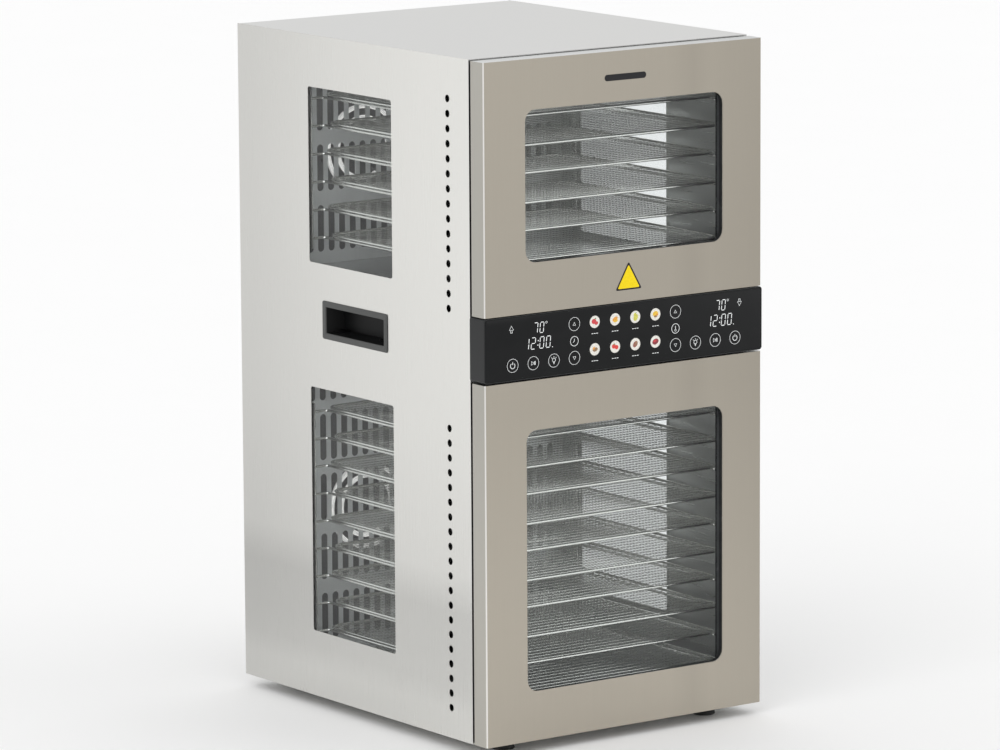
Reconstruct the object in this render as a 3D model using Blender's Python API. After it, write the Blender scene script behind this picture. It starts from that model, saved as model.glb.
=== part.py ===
"""Two-zone food dehydrator: a tall steel cabinet with an upper and a lower chamber.

X runs across the front, the doors face -Y, Z is up. The origin is on the floor under the
middle of the cabinet. All sizes are in metres.
"""

from math import cos, pi, radians, sin

import bmesh
import bpy
from mathutils import Matrix, Vector

# Cabinet
CABINET_W = 0.430
BODY_D = 0.5078
SHEET = 0.0010
LINER_T = 0.0008
GAP = 0.0003
FOOT_H = 0.015
FOOT_R = 0.015
FOOT_INSET_X = 0.057
FOOT_INSET_FRONT = 0.0152
FOOT_INSET_REAR = 0.045
BASE_LIFT = 0.0003

# Doors and control panel; the door heights follow from the trays
PANEL_H = 0.0806
GAP_BELOW_PANEL = 0.0019
GAP_ABOVE_PANEL = 0.0010
TOP_GAP = 0.0015
TOP_FOLD = 0.012
DOOR_T = 0.0262
DOOR_GAP = 0.0042
DOOR_EDGE_R = 0.0035
WINDOW_FRAME_W = 0.0625
WINDOW_R = 0.015
REVEAL_DEPTH = 0.0070
GLASS_T = 0.004
GLASS_LAP = 0.009
COLLAR_WALL = 0.0025
PANEL_OVERHANG = 0.0006
PANEL_WALL = 0.0025
PANEL_RIM = 0.0014
TOUCH_T = 0.0014

# Door hinges
HINGE_INSET = 0.008
HINGE_FOOT_H = 0.020
PIN_R = 0.003
PIN_CLEARANCE = 0.0006
ARM_W = 0.007
ARM_T = 0.003
ARM_OFFSET = 0.012
ARM_CLEARANCE = 0.0012
BUSH_H = 0.010
BUSH_HALF_W = 0.008

# Chambers
LOWER_FLOOR = 0.014
CHAMBER_TO_BAY = 0.0135
UPPER_CEILING = 0.016
FLANGE_SETBACK = 0.0003
OPENING_LIP = 0.008
DUCT_FROM_REAR = 0.1228
REAR_INSET = 0.0041
SIDE_PANE_T = 0.0034
SIDE_PANE_LAP = 0.006
SIDE_LINER_MARGIN = 0.012
SIDE_WINDOW_R = 0.0035
SIDE_WINDOW_FRONT = 0.1654
SIDE_WINDOW_TO_DUCT = 0.036
UPPER_WINDOW_ABOVE_FLOOR = 0.012
UPPER_WINDOW_BELOW_CEILING = 0.050
LOWER_WINDOW_ABOVE_FLOOR = 0.0714
LOWER_WINDOW_BELOW_CEILING = 0.038

# Trays and their rails
TRAY_COUNT_UPPER = 6
TRAY_COUNT_LOWER = 10
TRAY_PITCH = 0.0358
TRAY_SIDE_CLEARANCE = 0.018
TRAY_FRONT = 0.012
TRAY_TO_DUCT = 0.030
TRAY_STAGGER = 0.008
TRAY_R = 0.018
TRAY_SHEET = 0.0006
RIM_W = 0.0044
FIRST_TRAY_UPPER = 0.0443
FIRST_TRAY_LOWER = 0.0356
ROOM_ABOVE_UPPER_TRAYS = 0.0622
ROOM_ABOVE_LOWER_TRAYS = 0.0684
OPENING_PAST_TRAY = 0.004
RAIL_R = 0.0022
RAIL_INSET = 0.0045
RAIL_FRONT = 0.030
RAIL_TO_DUCT = 0.030
RACK_STRIP_W = 0.008
RACK_STRIP_T = 0.0020

# Side details
VENT_R = 0.0046
VENT_PITCH = 0.01855
VENT_FRONT = 0.0449
VENT_COUNT_UPPER = 15
VENT_COUNT_LOWER = 20
UPPER_VENT_BELOW_TOP = 0.0519
LOWER_VENT_ABOVE_BASE = 0.0386
HANDLE_FRONT = 0.1762
HANDLE_L = 0.1435
HANDLE_H = 0.0490
HANDLE_RIM = 0.008
HANDLE_CORNER_R = 0.003
HANDLE_PROUD = 0.0013
HANDLE_DEPTH = 0.024
HANDLE_WALL = 0.0018
HANDLE_TAPER = 0.006

# Air system
SLOT_W = 0.0095
SLOT_L = 0.060
SLOT_PITCH_X = 0.0164
SLOT_PITCH_Z = 0.078
FIRST_SLOT_UPPER = 0.016
FIRST_SLOT_LOWER = 0.048
SLOT_MARGIN = 0.010
DUCT_T = 0.0010
FAN_X = 0.098
FAN_R = 0.050
FAN_BLADES = 6
FAN_HUB_R = 0.015
FAN_DEPTH = 0.020
SHAFT_R = 0.0025
SHAFT_CLEARANCE = 0.0010
MOTOR_R = 0.030
MOTOR_L = 0.028
HEATER_R = 0.054
HEATER_TUBE_R = 0.0032
HEATER_FROM_DUCT = 0.012
FAN_FROM_DUCT = 0.026
MOUNT_FROM_DUCT = 0.054
INTAKE_COUNT = 6
INTAKE_PITCH = 0.014
INTAKE_L = 0.200
INTAKE_H = 0.005
INLET_W = 0.048
INLET_H = 0.028
INLET_DEPTH = 0.020
INLET_FLANGE = 0.006
INLET_WALL = 0.002
INLET_X = -0.130

# Planes that follow from the sizes above
UPPER_CHAMBER_H = FIRST_TRAY_UPPER + (TRAY_COUNT_UPPER - 1) * TRAY_PITCH + ROOM_ABOVE_UPPER_TRAYS
LOWER_CHAMBER_H = FIRST_TRAY_LOWER + (TRAY_COUNT_LOWER - 1) * TRAY_PITCH + ROOM_ABOVE_LOWER_TRAYS
UPPER_DOOR_H = CHAMBER_TO_BAY + UPPER_CHAMBER_H + UPPER_CEILING - TOP_GAP
LOWER_DOOR_H = LOWER_FLOOR - BASE_LIFT + LOWER_CHAMBER_H + CHAMBER_TO_BAY
HALF_W = CABINET_W / 2
Y_DOOR = -(DOOR_T + DOOR_GAP + BODY_D) / 2
Y_DOOR_BACK = Y_DOOR + DOOR_T
Y_BODY = Y_DOOR_BACK + DOOR_GAP
Y_REAR = Y_BODY + BODY_D - REAR_INSET
Y_DUCT = Y_BODY + BODY_D - DUCT_FROM_REAR
Z_BODY = FOOT_H
Z_LOWER_DOOR = (Z_BODY + BASE_LIFT, Z_BODY + BASE_LIFT + LOWER_DOOR_H)
Z_PANEL = (Z_LOWER_DOOR[1] + GAP_BELOW_PANEL, Z_LOWER_DOOR[1] + GAP_BELOW_PANEL + PANEL_H)
Z_UPPER_DOOR = (Z_PANEL[1] + GAP_ABOVE_PANEL, Z_PANEL[1] + GAP_ABOVE_PANEL + UPPER_DOOR_H)
Z_TOP = Z_UPPER_DOOR[1] + TOP_GAP
BODY_H = Z_TOP - Z_BODY
SIDE_INNER = HALF_W - SHEET
LINER_OUT = SIDE_INNER - SIDE_PANE_T - 2 * GAP
CHAMBER_HALF = LINER_OUT - LINER_T
TRAY_HALF = CHAMBER_HALF - TRAY_SIDE_CLEARANCE
RAIL_X = TRAY_HALF - RAIL_INSET
OPENING_HALF = TRAY_HALF + OPENING_PAST_TRAY
LOWER_Z = (Z_BODY + LOWER_FLOOR, Z_LOWER_DOOR[1] - CHAMBER_TO_BAY)
UPPER_Z = (Z_UPPER_DOOR[0] + CHAMBER_TO_BAY, Z_TOP - UPPER_CEILING)
MOUNT_Y = Y_DUCT + MOUNT_FROM_DUCT
HINGE_X = HALF_W - HINGE_INSET
HINGE_Y = Y_DOOR + DOOR_T / 2

# Facing of a flat plate: its own x and y run along these world axes
ACROSS = Matrix.Rotation(pi / 2, 4, "X")
ALONG = Matrix.Rotation(pi / 2, 4, "Z") @ Matrix.Rotation(pi / 2, 4, "X")
FLAT = Matrix.Identity(4)

STEEL_SIDE = ((0.76, 0.76, 0.74), 0.33, 1.0, 1.0)
STEEL_DOOR = ((0.56, 0.53, 0.49), 0.35, 1.0, 1.0)
STEEL_INNER = ((0.52, 0.53, 0.53), 0.25, 1.0, 1.0)
STEEL_WIRE = ((0.72, 0.72, 0.70), 0.22, 1.0, 1.0)
BLACK_PLASTIC = ((0.022, 0.022, 0.024), 0.42, 0.0, 1.0)
GREY_PLASTIC = ((0.080, 0.082, 0.080), 0.50, 0.0, 1.0)
BLACK_GLOSS = ((0.012, 0.012, 0.013), 0.10, 0.0, 1.0)
RUBBER = ((0.030, 0.030, 0.030), 0.75, 0.0, 1.0)
SILICONE = ((0.16, 0.16, 0.16), 0.60, 0.0, 1.0)
WINDOW_GLASS = ((0.35, 0.37, 0.37), 0.04, 0.0, 0.35)
DARK_METAL = ((0.12, 0.12, 0.12), 0.40, 1.0, 1.0)
HEATER_STEEL = ((0.80, 0.79, 0.76), 0.12, 1.0, 1.0)


def start_scene():
    """Empties the scene and makes one collection for the parts and one for the cutters."""
    for obj in list(bpy.data.objects):
        bpy.data.objects.remove(obj, do_unlink=True)
    parts = bpy.data.collections.new("food_dehydrator")
    tools = bpy.data.collections.new("cutters")
    for collection in (parts, tools):
        bpy.context.scene.collection.children.link(collection)
    return parts, tools


PARTS, TOOLS = start_scene()


def finish(obj, look):
    """Gives the object its own Principled material."""
    colour, rough, metal, alpha = look
    material = bpy.data.materials.new(obj.name + "_finish")
    material.use_nodes = True
    shader = material.node_tree.nodes["Principled BSDF"]
    shader.inputs["Base Color"].default_value = (*colour, 1.0)
    shader.inputs["Roughness"].default_value = rough
    shader.inputs["Metallic"].default_value = metal
    shader.inputs["Alpha"].default_value = alpha
    obj.data.materials.clear()
    obj.data.materials.append(material)
    return obj


def new_mesh(name, bm, at=(0, 0, 0), collection=PARTS):
    """Stores a bmesh as an object standing at the given place."""
    bmesh.ops.recalc_face_normals(bm, faces=bm.faces)
    mesh = bpy.data.meshes.new(name)
    bm.to_mesh(mesh)
    bm.free()
    obj = bpy.data.objects.new(name, mesh)
    obj.location = at
    collection.objects.link(obj)
    return obj


def add_box(bm, low, high, turn=None):
    """Adds a box between two corners, optionally turned by a matrix afterwards."""
    size = [b - a for a, b in zip(low, high)]
    middle = [(a + b) / 2 for a, b in zip(low, high)]
    matrix = Matrix.Translation(middle) @ Matrix.Diagonal((*size, 1))
    if turn is not None:
        matrix = turn @ matrix
    return bmesh.ops.create_cube(bm, size=1, matrix=matrix)["verts"]


def box(name, low, high, collection=PARTS):
    """A box object with its origin in the middle."""
    middle = Vector([(a + b) / 2 for a, b in zip(low, high)])
    bm = bmesh.new()
    add_box(bm, Vector(low) - middle, Vector(high) - middle)
    return new_mesh(name, bm, middle, collection)


def add_cylinder(bm, radius, low, high, axis, at=(0, 0), sides=16, top_radius=None):
    """Adds a cylinder or cone along an axis, from low to high, at its two other coordinates."""
    turn = {"X": Matrix.Rotation(pi / 2, 4, "Y"), "Y": Matrix.Rotation(-pi / 2, 4, "X"), "Z": FLAT}
    place = {"X": (None, *at), "Y": (at[0], None, at[1]), "Z": (*at, None)}
    middle = [(low + high) / 2 if c is None else c for c in place[axis]]
    return bmesh.ops.create_cone(
        bm, cap_ends=True, segments=sides, radius1=radius,
        radius2=radius if top_radius is None else top_radius, depth=high - low,
        matrix=Matrix.Translation(middle) @ turn[axis] @ Matrix.Rotation(pi / sides, 4, "Z"),
    )["verts"]


def rounded(low, high, radius, steps):
    """A rounded rectangle between two corners, as a list of 2D points."""
    points = []
    corners = ((high[0], high[1], 0), (low[0], high[1], 90), (low[0], low[1], 180), (high[0], low[1], 270))
    for x, y, start in corners:
        cx = x - radius if x == high[0] else x + radius
        cy = y - radius if y == high[1] else y + radius
        for i in range(steps + 1):
            angle = radians(start + 90 * i / steps)
            points.append((cx + radius * cos(angle), cy + radius * sin(angle)))
    return points


def circle(x, y, radius, sides):
    """A regular polygon standing on one of its flats."""
    angles = [2 * pi * (i + 0.5) / sides for i in range(sides)]
    return [(x + radius * cos(a), y + radius * sin(a)) for a in angles]


def rectangle(low, high):
    """The four corners of a rectangle."""
    return [(low[0], low[1]), (high[0], low[1]), (high[0], high[1]), (low[0], high[1])]


def plate(name, outlines, thickness, at, facing, collection=PARTS):
    """A flat filled curve: the first outline is its edge and the others are holes."""
    curve = bpy.data.curves.new(name, "CURVE")
    curve.dimensions = "2D"
    curve.fill_mode = "BOTH"
    curve.extrude = thickness / 2
    for outline in outlines:
        spline = curve.splines.new("POLY")
        spline.points.add(len(outline) - 1)
        for point, (x, y) in zip(spline.points, outline):
            point.co = (x, y, 0, 1)
        spline.use_cyclic_u = True
    obj = bpy.data.objects.new(name, curve)
    obj.matrix_world = Matrix.Translation(at) @ facing
    collection.objects.link(obj)
    return obj


def to_mesh(obj):
    """Turns a curve object into a mesh object with welded caps, in the same place."""
    bpy.context.view_layer.update()
    graph = bpy.context.evaluated_depsgraph_get()
    mesh = bpy.data.meshes.new_from_object(obj.evaluated_get(graph))
    bm = bmesh.new()
    bm.from_mesh(mesh)
    bmesh.ops.remove_doubles(bm, verts=bm.verts, dist=1e-6)
    bmesh.ops.recalc_face_normals(bm, faces=bm.faces)
    bm.to_mesh(mesh)
    bm.free()
    solid = bpy.data.objects.new(obj.name, mesh)
    solid.matrix_world = obj.matrix_world
    for collection in obj.users_collection:
        collection.objects.link(solid)
    name = obj.name
    bpy.data.objects.remove(obj, do_unlink=True)
    solid.name = name
    return solid


def prism(name, outline, low, high, facing, collection=TOOLS):
    """A prism over an outline, from low to high along the facing's normal, in world places."""
    normal = (facing @ Vector((0, 0, 1, 0))).to_3d()
    middle = (low + high) / 2
    at = Vector([abs(c) * middle for c in normal])
    return to_mesh(plate(name, [outline], high - low, at, facing, collection))


def boolean(obj, other, operation):
    """Adds a Boolean modifier whose operand is kept out of the build."""
    if other.name not in TOOLS.objects:
        TOOLS.objects.link(other)
        PARTS.objects.unlink(other)
    other.display_type = "WIRE"
    other.hide_render = True
    modifier = obj.modifiers.new(other.name, "BOOLEAN")
    modifier.operation = operation
    modifier.object = other
    modifier.solver = "EXACT"
    return obj


def cut(obj, other):
    return boolean(obj, other, "DIFFERENCE")


def join(obj, other):
    return boolean(obj, other, "UNION")


def smooth(obj, angle=35):
    """Smooth shading that keeps the sharp edges."""
    obj.data.shade_smooth()
    obj.data.set_sharp_from_angle(angle=radians(angle))
    return obj


def side_window(zone):
    """The window opening of a side panel, as low and high (depth behind the front edge, height)."""
    if zone == "upper":
        z = (UPPER_Z[0] + UPPER_WINDOW_ABOVE_FLOOR, UPPER_Z[1] - UPPER_WINDOW_BELOW_CEILING)
    else:
        z = (LOWER_Z[0] + LOWER_WINDOW_ABOVE_FLOOR, LOWER_Z[1] - LOWER_WINDOW_BELOW_CEILING)
    y = (Y_BODY + SIDE_WINDOW_FRONT, Y_DUCT - SIDE_WINDOW_TO_DUCT)
    return (y[0], z[0]), (y[1], z[1])


def grown(corners, margin):
    """Low and high corners moved outward by a margin."""
    (x0, y0), (x1, y1) = corners
    return (x0 - margin, y0 - margin), (x1 + margin, y1 + margin)


def handle_corners():
    """The outer rim of a carry handle, halfway up the bay between the chambers."""
    middle = (LOWER_Z[1] + UPPER_Z[0]) / 2 - 0.0035
    y = Y_BODY + HANDLE_FRONT
    return (y, middle - HANDLE_H / 2), (y + HANDLE_L, middle + HANDLE_H / 2)


def side_panel(name, side):
    """The outer steel side with its window, handle and vent openings."""
    outlines = [rectangle((Y_BODY, Z_BODY), (Y_BODY + BODY_D, Z_TOP))]
    for zone in ("upper", "lower"):
        low, high = side_window(zone)
        outlines.append(rounded(low, high, SIDE_WINDOW_R, 2))
    low, high = grown(handle_corners(), -HANDLE_RIM + HANDLE_WALL + GAP)
    outlines.append(rectangle(low, high))
    y = Y_BODY + VENT_FRONT
    for i in range(VENT_COUNT_UPPER):
        outlines.append(circle(y, Z_TOP - UPPER_VENT_BELOW_TOP - i * VENT_PITCH, VENT_R, 8))
    for i in range(VENT_COUNT_LOWER):
        outlines.append(circle(y, Z_BODY + LOWER_VENT_ABOVE_BASE + i * VENT_PITCH, VENT_R, 8))
    x = side * (HALF_W - SHEET / 2)
    return finish(plate(name, outlines, SHEET, (x, 0, 0), ALONG), STEEL_SIDE)


def top_panel():
    """The flat top with two edges folded down inside the side panels, clear of the front lip."""
    x = SIDE_INNER - GAP
    panel = box("top_panel", (-x, Y_BODY, Z_TOP - SHEET), (x, Y_REAR, Z_TOP))
    folds = bmesh.new()
    for side in (-1, 1):
        ends = sorted((side * (x - SHEET), side * x))
        add_box(folds, (ends[0], Y_BODY + 0.004, Z_TOP - TOP_FOLD), (ends[1], Y_REAR, Z_TOP - SHEET / 2))
    return finish(join(panel, new_mesh("top_folds", folds, collection=TOOLS)), STEEL_SIDE)


def base_plate():
    """The flat steel bottom."""
    x = SIDE_INNER - GAP
    base = box("base_plate", (-x, Y_BODY, Z_BODY), (x, Y_REAR - SHEET - GAP, Z_BODY + SHEET))
    return finish(base, STEEL_SIDE)


def inlet_middle():
    """The power inlet's middle, in the bay behind the control panel."""
    return INLET_X, (LOWER_Z[1] + UPPER_Z[0]) / 2


def rear_panel():
    """The back sheet, with air intake slots behind each pair of fans and a hole for the inlet."""
    x = SIDE_INNER - SHEET - 2 * GAP
    outlines = [rectangle((-x, Z_BODY + SHEET + GAP), (x, Z_TOP - SHEET - GAP))]
    for z0, z1 in (LOWER_Z, UPPER_Z):
        first = (z0 + z1) / 2 - (INTAKE_COUNT - 1) * INTAKE_PITCH / 2
        for i in range(INTAKE_COUNT):
            z = first + i * INTAKE_PITCH
            outlines.append(rectangle((-INTAKE_L / 2, z - INTAKE_H / 2), (INTAKE_L / 2, z + INTAKE_H / 2)))
    ix, iz = inlet_middle()
    outlines.append(rectangle((ix - INLET_W / 2, iz - INLET_H / 2), (ix + INLET_W / 2, iz + INLET_H / 2)))
    return finish(plate("rear_panel", outlines, SHEET, (0, Y_REAR - SHEET / 2, 0), ACROSS), STEEL_SIDE)


def power_inlet():
    """A socket for a detachable lead: a flange on the rear sheet and a cup behind it."""
    x, z = inlet_middle()
    half = (INLET_W / 2 - GAP, INLET_H / 2 - GAP)
    wall = INLET_WALL
    inlet = box("power_inlet", (x - half[0], Y_REAR - INLET_DEPTH, z - half[1]),
                (x + half[0], Y_REAR + GAP + 0.001, z + half[1]))
    flange = box("inlet_flange", (x - half[0] - INLET_FLANGE, Y_REAR + GAP, z - half[1] - INLET_FLANGE / 2),
                 (x + half[0] + INLET_FLANGE, Y_REAR + GAP + 0.002, z + half[1] + INLET_FLANGE / 2), TOOLS)
    cup = box("inlet_cup", (x - half[0] + wall, Y_REAR - INLET_DEPTH + wall, z - half[1] + wall),
              (x + half[0] - wall, Y_REAR + 0.1, z + half[1] - wall), TOOLS)
    return finish(cut(join(inlet, flange), cup), BLACK_PLASTIC)


def foot(name, x, y):
    """A rubber foot that widens towards the floor."""
    bm = bmesh.new()
    add_cylinder(bm, FOOT_R, 0, FOOT_H - GAP, "Z", sides=16, top_radius=FOOT_R * 0.8)
    return finish(smooth(new_mesh(name, bm, (x, y, 0))), RUBBER)


def liner(name, zone, z, z_flange):
    """A chamber: a steel tunnel open at both ends, with a front lip and openings for the windows."""
    front = Y_BODY + FLANGE_SETBACK
    tunnel = box(name, (-LINER_OUT, front, z[0] - LINER_T), (LINER_OUT, MOUNT_Y - GAP, z[1] + LINER_T))
    flange = box(name + "_flange", (-SIDE_INNER + GAP, front, z_flange[0]),
                 (SIDE_INNER - GAP, front + LINER_T, z_flange[1]), TOOLS)
    inside = box(name + "_inside", (-CHAMBER_HALF, front + LINER_T, z[0]),
                 (CHAMBER_HALF, MOUNT_Y + 0.1, z[1]), TOOLS)
    mouth = box(name + "_mouth", (-OPENING_HALF, front - 0.1, z[0] + OPENING_LIP),
                (OPENING_HALF, front + 0.1, z[1] - OPENING_LIP), TOOLS)
    low, high = grown(side_window(zone), SIDE_LINER_MARGIN)
    windows = prism(name + "_windows", rectangle(low, high), -1, 1, ALONG)
    for tool, operation in ((flange, "UNION"), (inside, "DIFFERENCE"), (mouth, "DIFFERENCE"),
                            (windows, "DIFFERENCE")):
        boolean(tunnel, tool, operation)
    return finish(tunnel, STEEL_INNER)


def side_glass(name, side, zone):
    """A pane held between a side panel and the liner."""
    low, high = grown(side_window(zone), SIDE_PANE_LAP)
    x = side * (SIDE_INNER - GAP - SIDE_PANE_T / 2)
    pane = plate(name, [rounded(low, high, SIDE_WINDOW_R, 2)], SIDE_PANE_T, (x, 0, 0), ALONG)
    return finish(pane, WINDOW_GLASS)


def slot_rows(z, first):
    """The low ends of the slot rows that fit in a chamber."""
    rows = []
    while z[0] + first + len(rows) * SLOT_PITCH_Z + SLOT_L < z[1] - SLOT_MARGIN / 2:
        rows.append(z[0] + first + len(rows) * SLOT_PITCH_Z)
    return rows


def duct_wall(name, z, first):
    """The slotted sheet at the back of a chamber."""
    x = CHAMBER_HALF - GAP
    outlines = [rectangle((-x, z[0] + GAP), (x, z[1] - GAP))]
    columns = int((2 * x - 2 * SLOT_MARGIN - SLOT_W) / SLOT_PITCH_X) + 1
    for row in slot_rows(z, first):
        for i in range(columns):
            middle = (i - (columns - 1) / 2) * SLOT_PITCH_X
            outlines.append(rectangle((middle - SLOT_W / 2, row), (middle + SLOT_W / 2, row + SLOT_L)))
    wall = plate(name, outlines, DUCT_T, (0, Y_DUCT + DUCT_T / 2, 0), ACROSS)
    return finish(wall, STEEL_INNER)


def wire(name, points, radius, resolution=0, collection=PARTS):
    """A round wire through the points, with closed ends."""
    curve = bpy.data.curves.new(name, "CURVE")
    curve.dimensions = "3D"
    curve.bevel_depth = radius
    curve.bevel_resolution = resolution
    curve.use_fill_caps = True
    spline = curve.splines.new("POLY")
    spline.points.add(len(points) - 1)
    for point, co in zip(spline.points, points):
        point.co = (*co, 1)
    obj = bpy.data.objects.new(name, curve)
    collection.objects.link(obj)
    return obj


def tray_heights(zone):
    """The height of each tray's rim, from the lowest tray up."""
    count = TRAY_COUNT_UPPER if zone == "upper" else TRAY_COUNT_LOWER
    first = UPPER_Z[0] + FIRST_TRAY_UPPER if zone == "upper" else LOWER_Z[0] + FIRST_TRAY_LOWER
    return [first + i * TRAY_PITCH for i in range(count)]


def tray(name, z, stagger):
    """A tray: a wire rim around a thin woven sheet, here a thin solid sheet in a thicker rim."""
    front = Y_BODY + TRAY_FRONT + stagger
    back = Y_DUCT - TRAY_TO_DUCT - TRAY_STAGGER + stagger
    middle = (front + back) / 2
    half = (back - front) / 2
    bm = bmesh.new()
    outline = rounded((-TRAY_HALF, -half), (TRAY_HALF, half), TRAY_R, 3)
    face = bm.faces.new([bm.verts.new((x, y, -RIM_W / 2)) for x, y in outline])
    raised = bmesh.ops.extrude_face_region(bm, geom=[face])["geom"]
    verts = [g for g in raised if isinstance(g, bmesh.types.BMVert)]
    bmesh.ops.translate(bm, verts=verts, vec=(0, 0, RIM_W))
    top = [g for g in raised if isinstance(g, bmesh.types.BMFace)]
    bmesh.ops.inset_region(bm, faces=top, thickness=RIM_W, use_even_offset=True)
    bmesh.ops.translate(bm, verts=top[0].verts, vec=(0, 0, -RIM_W + TRAY_SHEET))
    return finish(new_mesh(name, bm, (0, middle, z)), STEEL_WIRE)


def rack(name, side, zone):
    """Rails bent from wire like staples, welded to two upright strips on the chamber's wall."""
    drop = RIM_W / 2 + RAIL_R + GAP
    heights = [z - drop for z in tray_heights(zone)]
    front = Y_BODY + RAIL_FRONT
    back = Y_DUCT - RAIL_TO_DUCT
    outer = CHAMBER_HALF - GAP
    inner = outer - RACK_STRIP_T
    weld = (outer + inner) / 2
    bend = 0.006
    strips = bmesh.new()
    for y in (front, back):
        ends = sorted((side * inner, side * outer))
        add_box(strips, (ends[0], y - RACK_STRIP_W / 2, heights[0] - 0.012),
                (ends[1], y + RACK_STRIP_W / 2, heights[-1] + 0.012))
    body = new_mesh(name, strips)
    rails = bmesh.new()
    for z in heights:
        path = [(weld, front), (RAIL_X + bend, front), (RAIL_X, front + bend), (RAIL_X, back - bend),
                (RAIL_X + bend, back), (weld, back)]
        rail = to_mesh(wire(f"{name}_rail", [(side * x, y, z) for x, y in path], RAIL_R, 0, TOOLS))
        rails.from_mesh(rail.data)
        bpy.data.objects.remove(rail, do_unlink=True)
    return finish(join(body, new_mesh(name + "_rails", rails, collection=TOOLS)), STEEL_WIRE)


def carry_handle(name, side):
    """A recessed grip: a flat rim on the panel and a cup that narrows inward."""
    low, high = handle_corners()
    y, z = (low[0] + high[0]) / 2, (low[1] + high[1]) / 2
    half = (HANDLE_L / 2 - HANDLE_RIM, HANDLE_H / 2 - HANDLE_RIM)

    def cup(object_name, margin, depth, reach):
        """A box from the rim inward whose inner end is smaller."""
        bm = bmesh.new()
        x_out, x_in = HALF_W + reach, HALF_W - depth
        ends = sorted((side * x_out, side * x_in))
        add_box(bm, (ends[0], y - half[0] - margin, z - half[1] - margin),
                (ends[1], y + half[0] + margin, z + half[1] + margin))
        for vert in bm.verts:
            if abs(vert.co.x) < (x_out + x_in) / 2:
                vert.co.y -= HANDLE_TAPER if vert.co.y > y else -HANDLE_TAPER
                vert.co.z -= HANDLE_TAPER / 2 if vert.co.z > z else -HANDLE_TAPER / 2
        return new_mesh(object_name, bm, collection=TOOLS)

    faces = sorted((side * (HALF_W + GAP), side * (HALF_W + HANDLE_PROUD)))
    rim = prism(name, rounded(low, high, HANDLE_CORNER_R, 2), *faces, ALONG, PARTS)
    outer = cup(name + "_outer", HANDLE_WALL, HANDLE_DEPTH, HANDLE_PROUD / 2)
    inner = cup(name + "_inner", 0.0, HANDLE_DEPTH - HANDLE_WALL, 0.01)
    return finish(cut(join(rim, outer), inner), GREY_PLASTIC)


def door_window(z):
    """The door's window opening, as low and high (x, z)."""
    x = HALF_W - WINDOW_FRAME_W
    return (-x, z[0] + WINDOW_FRAME_W), (x, z[1] - WINDOW_FRAME_W)


def arm_heights(z):
    """The middle heights of a door's two hinge arms."""
    return z[0] + ARM_OFFSET, z[1] - ARM_OFFSET


def arm_slots(name, z):
    """Room for the hinge arms as the door swings past them, cut through its back and edge."""
    bm = bmesh.new()
    half = ARM_T / 2 + ARM_CLEARANCE
    for height in arm_heights(z):
        add_box(bm, (HINGE_X - ARM_W / 2 - ARM_CLEARANCE, HINGE_Y - 0.008, height - half),
                (HALF_W + 0.01, Y_DOOR_BACK + 0.01, height + half))
    return new_mesh(name, bm, collection=TOOLS)


def door_skin(name, z):
    """The door's folded steel shell: front, four edges and the window opening."""
    def plan(x, front, back, radius):
        """The door seen from above, with its two front corners rounded."""
        right = [(x - radius + radius * sin(a), front + radius - radius * cos(a))
                 for a in [pi / 2 * i / 3 for i in range(4)]]
        return [(-px, py) for px, py in reversed(right)] + right + [(x, back), (-x, back)]

    skin = prism(name, plan(HALF_W, Y_DOOR, Y_DOOR_BACK, DOOR_EDGE_R), z[0], z[1], FLAT, PARTS)
    inside = prism(name + "_inside", plan(HALF_W - SHEET, Y_DOOR + SHEET, Y_DOOR_BACK + 0.1,
                                          DOOR_EDGE_R - SHEET), z[0] + SHEET, z[1] - SHEET, FLAT)
    low, high = door_window(z)
    window = prism(name + "_window", rounded(low, high, WINDOW_R, 5), Y_DOOR - 0.1, Y_DOOR + 0.02, ACROSS)
    skin = cut(cut(cut(skin, inside), window), arm_slots(name + "_slots", z))
    return finish(hinged(smooth(skin, 25)), STEEL_DOOR)


def door_frame(name, z):
    """The moulded inner frame: a collar round the glass, a back plate and two hinge bushes."""
    low, high = door_window(z)
    seat = GLASS_LAP + GAP
    start, seat_y = Y_DOOR + SHEET + GAP, Y_DOOR + REVEAL_DEPTH
    edge = SHEET + GAP
    frame = prism(name, rounded(*grown((low, high), seat + COLLAR_WALL), WINDOW_R, 3), start, Y_DOOR_BACK,
                  ACROSS, PARTS)
    back = box(name + "_back", (-HALF_W + edge, Y_DOOR_BACK - 0.0015, z[0] + edge),
               (HALF_W - edge, Y_DOOR_BACK, z[1] - edge), TOOLS)
    through = prism(name + "_through", rounded(low, high, WINDOW_R, 5), Y_DOOR - 0.1, Y_DOOR + 0.1, ACROSS)
    rebate = prism(name + "_rebate", rounded(*grown((low, high), seat), WINDOW_R / 2, 3), seat_y,
                   Y_DOOR_BACK + 0.1, ACROSS)
    blocks, bores = bmesh.new(), bmesh.new()
    for height, inward in zip(arm_heights(z), (1, -1)):
        near = height + inward * (ARM_T / 2 + ARM_CLEARANCE)
        ends = sorted((near, near + inward * BUSH_H))
        add_box(blocks, (HINGE_X - BUSH_HALF_W, HINGE_Y - 0.0065, ends[0]),
                (HINGE_X + 0.0062, Y_DOOR_BACK - 0.0005, ends[1]))
        add_cylinder(bores, PIN_R + PIN_CLEARANCE, ends[0] - 0.002, ends[1] + 0.002, "Z", (HINGE_X, HINGE_Y), 8)
    blocks = new_mesh(name + "_blocks", blocks, collection=TOOLS)
    bores = new_mesh(name + "_bores", bores, collection=TOOLS)
    for tool, operation in ((back, "UNION"), (blocks, "UNION"), (rebate, "DIFFERENCE"),
                            (through, "DIFFERENCE"), (bores, "DIFFERENCE"),
                            (arm_slots(name + "_slots", z), "DIFFERENCE")):
        boolean(frame, tool, operation)
    return finish(hinged(frame), BLACK_PLASTIC)


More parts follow.
